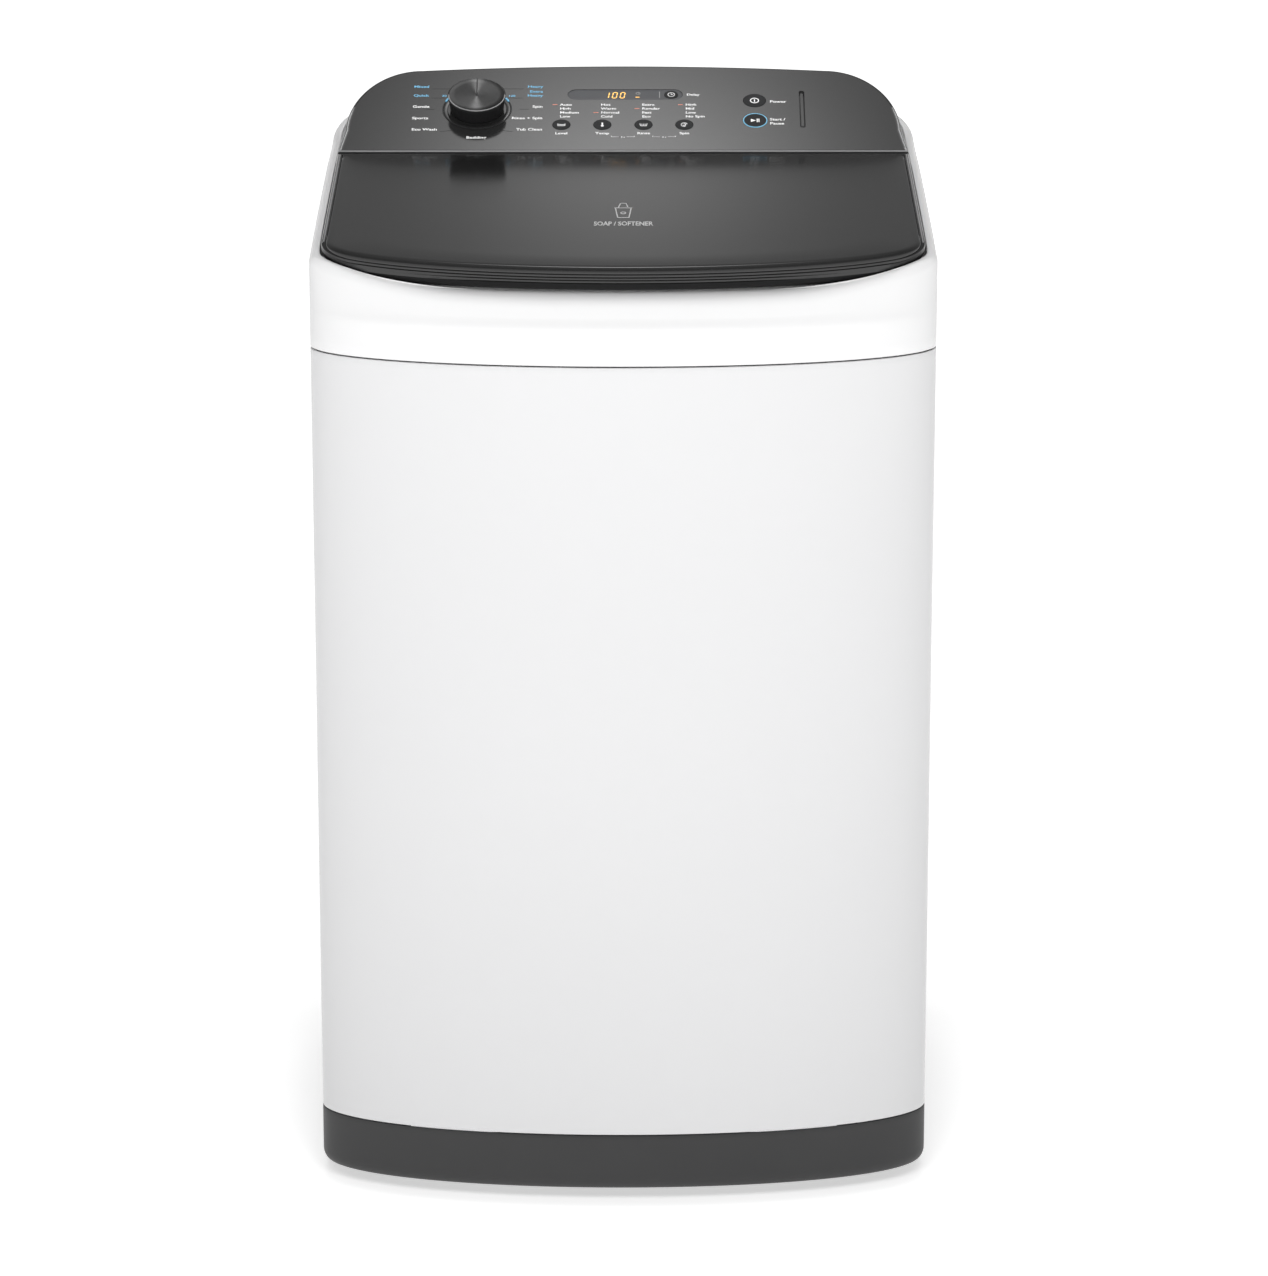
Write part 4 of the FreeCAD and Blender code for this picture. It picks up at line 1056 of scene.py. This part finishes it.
def digit(text, x, y, width, height, z0, z1):
    """A leaning seven-segment figure."""
    w, lean = 0.24 * width, 0.14
    half = height / 2
    strokes = {
        "a": (0, height, width, height), "b": (width, height, width, half), "c": (width, half, width, 0),
        "d": (0, 0, width, 0), "e": (0, 0, 0, half), "f": (0, half, 0, height), "g": (0, half, width, half),
    }
    parts = []
    for s in SEGMENTS[text]:
        x0, y0, x1, y1 = strokes[s]
        gap = 0.12 * width
        if x0 == x1:
            y0, y1 = (y0 - gap, y1 + gap) if y0 > y1 else (y0 + gap, y1 - gap)
        else:
            x0, x1 = x0 + gap, x1 - gap
        parts.append(bar(x + x0 + lean * y0, y + y0, x + x1 + lean * y1, y + y1, w, z0, z1))
    return parts


def build_display():
    x0, x1, y0, y1 = DISPLAY
    rows = ((0.05, -3.0), (0.05, -0.55), (0.4, -0.3), (1.0, -0.25), (2.0, -0.25))
    rings = [pill_ring(x0 + i, x1 - i, y0 + i, y1 - i, w, 24) for i, w in rows]
    window = add_object("display_panel", *loft(rings), M["display"], CONSOLE_FRAME)
    u, v, r = KEYS["delay"]
    cut(window, [loft([circle_ring(u, v, r + 0.3, w, 64) for w in (-8, 8)])], CONSOLE_FRAME)
    shade(window, 30)
    finish_piece(window, "cabinet", ["display_window"])
    z0, z1 = -0.4, -0.17
    parts = []
    for text, x in (("1", -19.2), ("0", -11.2), ("0", -3.4)):
        parts += digit(text, x, 93.9, 4.1, 9.7, z0, z1)
    parts.append(bar(12.4, 95.4, 16.4, 95.4, 1.0, z0, z1))
    figures = add_object("display_figures", *merge(*parts), M["light_orange"], CONSOLE_FRAME)
    finish_piece(figures, "cabinet")
    marks = [ring_part(15.0, 102.0, 2.3, 1.7, z0, z1, 24), bar(15.0, 102.0, 15.0, 103.6, 0.5, z0, z1),
             bar(15.0, 102.0, 16.2, 102.0, 0.5, z0, z1), bar(36.6, 94.2, 36.6, 105.2, 0.7, z0, z1)]
    symbols = add_object("display_symbols", *merge(*marks), M["print_grey"], CONSOLE_FRAME)
    finish_piece(symbols, "cabinet")


def text_part(words, x, y, height, align="LEFT", bold=0.02, stretch=1.12):
    """A short word as flat printed geometry on the console, x across and y up, in millimetres."""
    curve = bpy.data.curves.new("word", "FONT")
    curve.body = words
    curve.align_x = align
    curve.size = 1.0
    curve.offset = bold
    curve.resolution_u = 3
    obj = bpy.data.objects.new("word", curve)
    scene.collection.objects.link(obj)
    bpy.context.view_layer.update()
    mesh = bpy.data.meshes.new_from_object(obj.evaluated_get(bpy.context.evaluated_depsgraph_get()))
    scale = height / 0.72
    verts = [(x + v.co.x * scale * stretch, y + v.co.y * scale, PRINT_W) for v in mesh.vertices]
    faces = [tuple(p.vertices) for p in mesh.polygons]
    bpy.data.objects.remove(obj)
    bpy.data.curves.remove(curve)
    bpy.data.meshes.remove(mesh)
    return verts, faces


PRINT_W = 0.07
LABEL = 4.0


def build_print():
    """Generic programme words, numbers and lines printed on the console."""
    white, blue, dark, red = [], [], [], []
    for words, v in (("Gentle", 78.2), ("Sports", 58.2), ("Eco Wash", 38.6)):
        white.append(text_part(words, -212, v - 1.4, LABEL))
    for words, v in (("Mixed", 113.2), ("Quick", 97.6)):
        blue.append(text_part(words, -211.5, v - 1.4, LABEL))
    for words, v in (("Spin", 78.2), ("Rinse + Spin", 58.2), ("Tub Clean", 38.6)):
        white.append(text_part(words, -81, v - 1.4, LABEL, "RIGHT"))
    for words, v in (("Heavy", 113.2), ("Extra", 104.6), ("Heavy", 97.6)):
        blue.append(text_part(words, -81, v - 1.4, LABEL, "RIGHT"))
    white.append(text_part("Bedding", KNOB_U, 23.2, LABEL, "CENTER"))
    blue.append(text_part("30", -180.5, 96.0, 3.1, "CENTER"))
    blue.append(text_part("120", -112.4, 96.0, 3.1, "CENTER"))
    for angle in (27.4, 152.6):
        blue.append(ring_part(KNOB_U, KNOB_V, 35.0, 33.1, 0.02, 1.16, 180, angle - 5.0, 10.0))
    columns = (
        (-63.7, ("Auto", "High", "Medium", "Low"), 0, "Level"),
        (-22.5, ("Hot", "Warm", "Normal", "Cold"), 2, "Temp"),
        (18.8, ("Extra", "Regular", "Fast", "Eco"), 1, "Rinse"),
        (62.6, ("High", "Mid", "Low", "No Spin"), 0, "Spin"),
    )
    for (u, words, lit, name), key in zip(columns, ("water_level", "temperature", "rinse", "spin")):
        for row, word in enumerate(words):
            v = 82.0 - 6.85 * row
            white.append(text_part(word, u, v - 1.8, 3.8))
            if row == lit:
                red.append(bar(u - 7.4, v, u - 2.6, v, 1.0, 0.02, PRINT_W))
        white.append(text_part(name, KEYS[key][0], 30.6, 3.8, "CENTER"))
    for u in (-0.4, 40.8):
        for a, b in ((-11.5, -4.0), (4.0, 11.5)):
            white.append(bar(u + a, 26.2, u + b, 26.2, 0.35, 0.02, PRINT_W))
        for a in (-11.5, 11.5):
            white.append(bar(u + a, 26.2, u + a, 28.0, 0.35, 0.02, PRINT_W))
        white.append(text_part("3 s", u, 24.6, 2.3, "CENTER"))
    white.append(text_part("Delay", 64.0, 97.8, 3.6))
    white.append(text_part("Power", 147.6, 85.4, 4.0))
    white.append(text_part("Start /", 147.0, 54.4, 4.0))
    white.append(text_part("Pause", 147.0, 47.4, 4.0))
    for s, inner in ((-1, 35), (1, 35)):
        near, far = KNOB_U + s * 31, KNOB_U + s * 54
        for v in (113.2, 97.0):
            dark.append(bar(KNOB_U + s * 24, v - 3.4, KNOB_U + s * 46, v - 3.4, 0.5, 0.02, PRINT_W))
        dark.append(bar(KNOB_U + s * 43, 74.0, KNOB_U + s * 52, 74.0, 0.5, 0.02, PRINT_W))
        dark.append(bar(KNOB_U + s * 26, 37.4, KNOB_U + s * 36, 35.0, 0.5, 0.02, PRINT_W))
    for name, parts, material in (("console_print_white", white, "print_white_painted_glow"), ("console_print_blue", blue, "print_blue_painted_glow"),
                                  ("console_print_lines", dark, "print_dark"), ("console_lights", red, "light_red")):
        obj = add_object(name, *merge(*parts), M[material], CONSOLE_FRAME, weld=0.0005)
        finish_piece(obj, "cabinet")


def build_lid_mark():
    """A generic basket pictogram on the lid, over generic drawer words."""
    y = -92.0
    z0, z1 = 0.0, 0.1
    strokes = [bar(-7.5, 6, -5.4, -16, 1.1, z0, z1), bar(-5.4, -16, 5.4, -16, 1.1, z0, z1),
               bar(5.4, -16, 7.5, 6, 1.1, z0, z1), bar(-8.6, 7, 8.6, 7, 1.1, z0, z1),
               bar(-4.6, 8, -2.6, 18, 1.0, z0, z1), bar(-2.6, 18, 2.6, 18, 1.0, z0, z1),
               bar(2.6, 18, 4.6, 8, 1.0, z0, z1), ring_part(0, -5, 2.8, 1.7, z0, z1, 24)]
    verts, faces = merge(*strokes)
    sign = [(x, 1.5 * v, w) for x, v, w in verts], faces
    word, faces = text_part("SOAP / SOFTENER", 0.0, -52.0, 14.0, "CENTER", 0.026, 0.36)
    verts, faces = merge(sign, ([(x, v, 0.1) for x, v, _ in word], faces))
    verts = [(x, y + v, lid_z(y + v, 0.02 - w)) for x, v, w in verts]
    mark = add_object("lid_mark", verts, faces, M["print_mark"])
    finish_piece(mark, "lid")


# ---- wash unit ----------------------------------------------------------------------------------

def build_basket():
    """The perforated drum: each cell of the sheet has its own round hole."""
    columns, rows, corners = 84, 26, 12
    verts, faces = [], []
    outer, inner = BASKET_R, BASKET_R - 1.0
    height = (BASKET_Z1 - BASKET_Z0) / rows
    step = 2 * math.pi / columns

    def add(radius, a, z):
        verts.append((radius * math.cos(a), TUB_Y + radius * math.sin(a), z))
        return len(verts) - 1

    for row in range(rows):
        z0 = BASKET_Z0 + row * height
        shift = 0.5 * (row % 2)
        for column in range(columns):
            a0 = (column + shift) * step
            holed = 2 <= row < rows - 1 and column % 7 != 3
            frame_points = []
            for k in range(corners):
                side, along = divmod(k, corners // 4)
                t = along / (corners // 4)
                square = ((t, 0), (1, t), (1 - t, 1), (0, 1 - t))[side]
                frame_points.append(square)
            layers = []
            for radius in (outer, inner):
                frame_ring = [add(radius, a0 + step * s, z0 + height * t) for s, t in frame_points]
                if not holed:
                    faces.append(tuple(frame_ring))
                    continue
                hole_ring = []
                for s, t in frame_points:
                    a = math.atan2(t - 0.5, s - 0.5)
                    da, dz = 2.3 * math.cos(a) / outer, 2.3 * math.sin(a)
                    hole_ring.append(add(radius, a0 + step / 2 + da, z0 + height / 2 + dz))
                for k in range(corners):
                    n = (k + 1) % corners
                    faces.append((frame_ring[k], frame_ring[n], hole_ring[n], hole_ring[k]))
                layers.append(hole_ring)
            if holed:
                for k in range(corners):
                    n = (k + 1) % corners
                    faces.append((layers[0][k], layers[0][n], layers[1][n], layers[1][k]))
    for z in (BASKET_Z0, BASKET_Z1):
        for column in range(columns):
            shift = 0.5 * ((0 if z == BASKET_Z0 else rows - 1) % 2)
            a0 = (column + shift) * step
            steps = corners // 4
            for k in range(steps):
                a, b = a0 + step * k / steps, a0 + step * (k + 1) / steps
                faces.append((add(outer, a, z), add(outer, b, z), add(inner, b, z), add(inner, a, z)))
    drum = add_object("basket_wall", verts, faces, M["steel"], crease=40)
    finish_piece(drum, "basket", ["basket_drum"])


def build_balance_ring():
    low, high = node_box("balance_ring")
    r0, r1, z0, z1 = 200.0, high.x, low.z, high.z
    profile = [(r0 + 2, z0), (r1 - 1, z0), (r1, z0 + 1), (r1, z1 - 8), (r1 - 2.5, z1 - 3), (r1 - 7, z1 - 0.6), (r1 - 11, z1),
               (r0 + 12, z1), (r0 + 6, z1 - 1.2), (r0 + 2, z1 - 4.5), (r0, z1 - 10), (r0, z0 + 6), (r0 + 0.6, z0 + 2)]
    ring = add_object("balance_ring_moulding", *revolve(profile, 144, (0, TUB_Y), closed=True), M["basket"])
    finish_piece(ring, "basket", ["balance_ring"])


def build_tub_ring():
    low, high = node_box("tub_cover_ring")
    z1 = high.z
    profile = [(208, 781), (208, z1 - 3), (209, z1 - 0.8), (211.5, z1), (240, z1), (249, z1 - 1.5), (252, z1 - 4), (253, z1 - 9),
               (253, low.z), (250.2, low.z), (250.2, z1 - 6), (248, z1 - 5.2), (212, z1 - 4.6), (210.6, z1 - 6), (210.4, 781)]
    ring = add_object("tub_ring_moulding", *revolve(profile, 144, (0, TUB_Y), closed=True), M["inner"])
    finish_piece(ring, "tub", ["tub_cover_ring"])


def build_pulsator():
    """A sculpted wash plate: six swept fins on a dished disc, with a centre cap."""
    radius, rings_n, around = 165.0, 44, 240
    z0 = BASKET_Z0 + 14
    rings = []
    for r in (0.0, 60.0, 120.0, radius - 2):
        rings.append([(r * math.cos(2 * math.pi * j / around), TUB_Y + r * math.sin(2 * math.pi * j / around), z0)
                      for j in range(around)])
    for i in range(rings_n + 1):
        r = radius * (1 - i / rings_n)
        ring = []
        for j in range(around):
            a = 2 * math.pi * j / around
            sweep = a + 0.55 * (r / radius) ** 2
            wave = 0.5 + 0.5 * math.cos(6 * sweep)
            fin = wave ** 5 * smooth((r - 22) / 30.0) * smooth((radius - 6 - r) / 26.0)
            dome = 24.0 * (1 - smooth((r - 14) / 62.0))
            rim = 3.0 * smooth((r - radius + 9) / 7.0)
            edge = 3.0 * (1 - math.sqrt(max(0.0, 1 - (max(0.0, r - radius + 3) / 3.0) ** 2)))
            z = z0 + 7.0 + dome + 17.0 * fin + rim - edge
            ring.append((r * math.cos(a), TUB_Y + r * math.sin(a), z))
        rings.append(ring)
    plate = add_object("pulsator_plate", *loft(rings, caps=(False, False)), M["basket"], crease=60)
    finish_piece(plate, "agitator", ["pulsator"])
    cap_profile = [(0.0, z0 + 30.5), (13.0, z0 + 30.5), (14.5, z0 + 31.5), (14.5, z0 + 33.2), (12.5, z0 + 34.6), (6.0, z0 + 35.6), (0.0, z0 + 35.9)]
    cap = add_object("pulsator_cap", *revolve(cap_profile, 64, (0, TUB_Y)), M["tub"])
    finish_piece(cap, "agitator")


def coil(x, y, z0, z1, radius, wire, turns, steps=28, sides=10):
    """A compression spring as a round wire along a helix."""
    rings = []
    total = int(turns * steps)
    for i in range(total + 1):
        a = 2 * math.pi * i / steps
        z = lerp(z0 + wire, z1 - wire, i / total)
        out = Vector((math.cos(a), math.sin(a), 0))
        ring = []
        for k in range(sides):
            b = 2 * math.pi * k / sides
            p = Vector((x, y, z)) + out * (radius + wire * math.cos(b)) + Vector((0, 0, wire * math.sin(b)))
            ring.append(tuple(p))
        rings.append(ring)
    return loft(rings)


def build_springs():
    low, high = node_box("suspension_springs")
    parts = []
    for sx in (1, -1):
        for sy in (1, -1):
            parts.append(coil(sx * 225.0, TUB_Y + sy * 205.0, low.z, high.z, 8.8, 1.5, 8))
    springs = add_object("suspension_coils", *merge(*parts), M["spring"])
    finish_piece(springs, "cabinet", ["suspension_springs"])


def build_spigots():
    """Threaded water inlets and the ribbed drain outlet."""
    for node, x, z, r in (("inlet_valve_cold", 150.0, 888.0, 13.2), ("inlet_valve_hot", 205.0, 888.0, 13.2)):
        profile = [(9.0, 268.0), (18.0, 268.0), (18.0, REAR - 3.2), (16.0, REAR - 3.0), (16.0, REAR - 0.4), (15.6, REAR)]
        y = REAR + 1.2
        profile.append((r - 1.3, REAR + 0.1))
        while y < 298.2:
            profile += [(r - 1.3, y), (r, y + 0.7), (r, y + 0.95), (r - 1.3, y + 1.6)]
            y += 1.8
        profile += [(r - 1.4, 299.4), (r - 2.0, 299.9), (9.4, 299.9), (9.0, 299.4)]
        verts, faces = revolve([(a, b) for a, b in profile], 72, closed=True)
        verts = [(x + vx, vz, z + vy) for vx, vy, vz in verts]
        body = block(x - 17, x + 17, 236, 269, z - 19, z + 19, 2.0)
        coil_box = block(x - 13, x + 13, 238, 264, z + 18, z + 19, 0.4)
        obj = add_object(node + "_body", *merge((verts, faces), body), M["valve"])
        finish_piece(obj, "cabinet", [node])
    profile = [(10.5, 256.0), (16.0, 256.0), (16.0, REAR - 0.3), (15.6, REAR), (12.2, REAR + 0.2)]
    for k in range(3):
        y = REAR + 1.6 + 4.3 * k
        profile += [(12.2, y), (13.5, y + 0.3), (13.5, y + 1.0), (12.2, y + 3.6)]
    profile += [(12.0, 299.6), (11.2, 299.9), (10.6, 299.6)]
    verts, faces = revolve(profile, 72, closed=True)
    x, z = -170.0, 130.0
    spout = [(x + vx, vz, z + vy) for vx, vy, vz in verts], faces
    barrel = revolve([(0.0, 190.0), (26.0, 190.0), (30.0, 194.0), (30.0, 258.0), (26.0, 262.0), (0.0, 262.0)], 72)
    barrel = [(x + vx, vz, z + vy) for vx, vy, vz in barrel[0]], barrel[1]
    stand = block(x - 30, x + 30, 190, 262, 74, 79, 1.2)
    leg = block(x - 22, x + 22, 198, 254, 78, 108, 1.5)
    pump = add_object("drain_pump_body", *merge(spout, barrel, stand, leg), M["black"])
    finish_piece(pump, "cabinet", ["drain_pump"])


def build_feet():
    for node in ("foot_front_left", "foot_front_right", "foot_rear_left", "foot_rear_right"):
        low, high = node_box(node)
        x, y = (low.x + high.x) / 2, (low.y + high.y) / 2
        pad = [(0.0, 0.0), (18.8, 0.0), (19.8, 0.8), (20.0, 1.8), (19.6, 3.6), (18.6, 4.4), (14.4, 8.4), (13.2, 9.0), (5.0, 9.0)]
        stud = []
        z = 9.4
        while z < 56.0:
            stud += [(4.45, z), (5.0, z + 0.5), (5.0, z + 0.7), (4.45, z + 1.2)]
            z += 1.5
        stud += [(4.2, 57.6), (3.6, 58.0), (0.0, 58.0)]
        pad_obj = add_object(node + "_pad", *revolve(pad + [(0.0, 9.0)], 64, (x, y)), M["black"])
        finish_piece(pad_obj, node, [node])
        stud_obj = add_object(node + "_stud", *revolve([(0.0, 8.8), (4.45, 8.8)] + stud, 32, (x, y)), M["zinc"])
        finish_piece(stud_obj, node)


# ---- CAD pieces that stay, with better materials ------------------------------------------------

CARRIED = {
    "zinc": ("rear_panel_screws", "foot_lock_nuts", "hinge_brackets", "lid_hinge_knuckles", "hinge_pins", "knob_shaft",
             "corner_brackets", "suspension_rods", "drive_frame", "tub_bearing", "spin_shaft", "wash_shaft"),
    "board": ("control_board",),
    "black": ("lid_switch", "pressure_sensor", "cord_gland", "display_module", "encoder"),
    "drawer": ("dispenser_drawer",),
    "inner": ("dispenser_housing",),
    "tub": ("outer_tub",),
    "basket": ("basket_base", "lint_filters"),
    "motor": ("gearbox", "motor"),
    "alloy": ("drive_pulley", "motor_pulley"),
    "rubber": ("drive_belt",),
}


def dress_carried_nodes():
    for key, nodes in CARRIED.items():
        for node in nodes:
            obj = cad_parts[node]
            for material_slot in obj.material_slots:
                material_slot.material = M[key]


# ---- stage, light and camera --------------------------------------------------------------------

def area_light(name, place, target, size, energy, size_y=None):
    data = bpy.data.lights.new(name, "AREA")
    data.shape = "RECTANGLE"
    data.size = size
    data.size_y = size_y or size
    data.energy = energy
    obj = bpy.data.objects.new(name, data)
    scene.collection.objects.link(obj)
    obj.location = place
    obj.rotation_euler = (Vector(target) - Vector(place)).to_track_quat("-Z", "Y").to_euler()
    obj.visible_glossy = False
    return obj


def glow_card(name, place, facing, size, sigma, strength):
    """A soft round glow on a card that only mirror-like surfaces see, such as a grid spot on a flag."""
    half = size / 2
    card = add_object(name, [(-half / MM, -half / MM, 0), (half / MM, -half / MM, 0), (half / MM, half / MM, 0),
                             (-half / MM, half / MM, 0)], [(0, 1, 2, 3)], [])
    turn = (Vector(facing) - Vector(place)).to_track_quat("Z", "Y").to_matrix().to_4x4()
    card.matrix_world = Matrix.Translation(place) @ turn
    material = bpy.data.materials.new(name)
    material.use_nodes = True
    nodes, links = material.node_tree.nodes, material.node_tree.links
    nodes.clear()
    coordinates = nodes.new("ShaderNodeTexCoord")
    length = nodes.new("ShaderNodeVectorMath")
    length.operation = "LENGTH"
    links.new(coordinates.outputs["Object"], length.inputs[0])
    ratio = nodes.new("ShaderNodeMath")
    ratio.operation = "DIVIDE"
    ratio.inputs[1].default_value = sigma * math.sqrt(2.0)
    links.new(length.outputs["Value"], ratio.inputs[0])
    square = nodes.new("ShaderNodeMath")
    square.operation = "POWER"
    square.inputs[1].default_value = 2.0
    links.new(ratio.outputs[0], square.inputs[0])
    falloff = nodes.new("ShaderNodeMath")
    falloff.operation = "POWER"
    falloff.inputs[0].default_value = math.exp(-1.0)
    links.new(square.outputs[0], falloff.inputs[1])
    brightness = nodes.new("ShaderNodeMath")
    brightness.operation = "MULTIPLY"
    brightness.inputs[1].default_value = strength
    links.new(falloff.outputs[0], brightness.inputs[0])
    glow = nodes.new("ShaderNodeEmission")
    links.new(brightness.outputs[0], glow.inputs["Strength"])
    clear = nodes.new("ShaderNodeBsdfTransparent")
    both = nodes.new("ShaderNodeAddShader")
    links.new(glow.outputs[0], both.inputs[0])
    links.new(clear.outputs[0], both.inputs[1])
    output = nodes.new("ShaderNodeOutputMaterial")
    links.new(both.outputs[0], output.inputs["Surface"])
    card.data.materials.append(material)
    card.visible_camera = False
    card.visible_diffuse = False
    card.visible_shadow = False
    card.visible_transmission = False
    return card


def build_world():
    """White at the horizon, dim walls above it and a brighter ceiling, the same all round."""
    world = bpy.data.worlds.new("studio")
    scene.world = world
    world.use_nodes = True
    nodes, links = world.node_tree.nodes, world.node_tree.links
    coordinates = nodes.new("ShaderNodeTexCoord")
    split = nodes.new("ShaderNodeSeparateXYZ")
    links.new(coordinates.outputs["Generated"], split.inputs[0])
    ramp = nodes.new("ShaderNodeValToRGB")
    links.new(split.outputs["Z"], ramp.inputs["Fac"])
    stops = ((0.0, 1.0), (0.2, 1.0), (0.29, 0.2), (0.75, 0.2), (1.0, 0.45))
    ramp.color_ramp.elements.new(0.5)
    ramp.color_ramp.elements.new(0.6)
    ramp.color_ramp.elements.new(0.7)
    for element, (place, value) in zip(ramp.color_ramp.elements, stops):
        element.position = place
        element.color = (value, value, value, 1.0)
    background = nodes["Background"]
    links.new(ramp.outputs["Color"], background.inputs["Color"])
    background.inputs["Strength"].default_value = 1.0


def build_stage():
    size = 30.0
    floor = add_object("floor", [(-size / MM, -size / MM, 0), (size / MM, -size / MM, 0), (size / MM, size / MM, 0),
                                 (-size / MM, size / MM, 0)], [(0, 1, 2, 3)], [])
    paint = Paint("floor_paint", (0.8, 0.8, 0.8), 0.9, specular=0.1)
    paint.tint(paint.noise(1.5, 2.0), 0.004)
    nodes, links = paint.material.node_tree.nodes, paint.material.node_tree.links
    coordinates = nodes.new("ShaderNodeTexCoord")
    length = nodes.new("ShaderNodeVectorMath")
    length.operation = "LENGTH"
    links.new(coordinates.outputs["Object"], length.inputs[0])
    spread = nodes.new("ShaderNodeMapRange")
    spread.interpolation_type = "SMOOTHSTEP"
    for key, value in (("From Min", 0.5), ("From Max", 2.0), ("To Min", 0.56), ("To Max", 0.92)):
        spread.inputs[key].default_value = value
    links.new(length.outputs["Value"], spread.inputs["Value"])
    links.new(spread.outputs["Result"], paint.shader.inputs["Emission Color"])
    paint.set("Emission Strength", 1.0)
    floor.data.materials.append(paint.material)
    build_world()
    area_light("key_front", (0.0, -2.3, 1.75), (0, -0.3, 0.85), 1.3, 38.0, size_y=0.6)
    area_light("overhead", (0.0, 0.0, 3.2), (0, 0, 0.9), 1.5, 24.0)
    area_light("back_card", (0.0, 1.5, 2.3), (0, 0.1, 0.95), 0.5, 5.0, size_y=0.4)
    glow_card("lid_glow", (0.0, 3.3, 1.92), (0.0, 0.0, 0.95), 1.6, 0.18, 0.62)
    glow_card("console_glow", (0.0, 0.9, 2.6), (0.0, 0.15, 0.95), 1.2, 0.19, 4.6)
    scene.view_settings.view_transform = "Standard"
    scene.view_settings.look = "None"


def build_camera():
    """A plain camera without shift, pitched down at the machine from above and in front."""
    lens, distance, height = 153.1, 4.9, 1.984
    pitch, turn = math.radians(16.06), math.radians(0.115)
    data = bpy.data.cameras.new("camera")
    data.sensor_width = 36.0
    data.lens = lens
    camera = bpy.data.objects.new("camera", data)
    scene.collection.objects.link(camera)
    camera.location = (0.0, FRONT * MM - distance, height)
    camera.rotation_euler = (math.pi / 2 - pitch, 0.0, -turn)
    scene.camera = camera


build_stage()
build_camera()
build_cabinet()
build_rear_panel()
build_plinth()
build_cover()
build_lid_frame()
build_lid_panel()
build_lid_liner()
build_lid_mark()
build_console()
build_groove()
build_bezel()
build_knob()
build_keys()
build_display()
build_print()
build_basket()
build_balance_ring()
build_tub_ring()
build_pulsator()
build_springs()
build_spigots()
build_feet()
dress_carried_nodes()
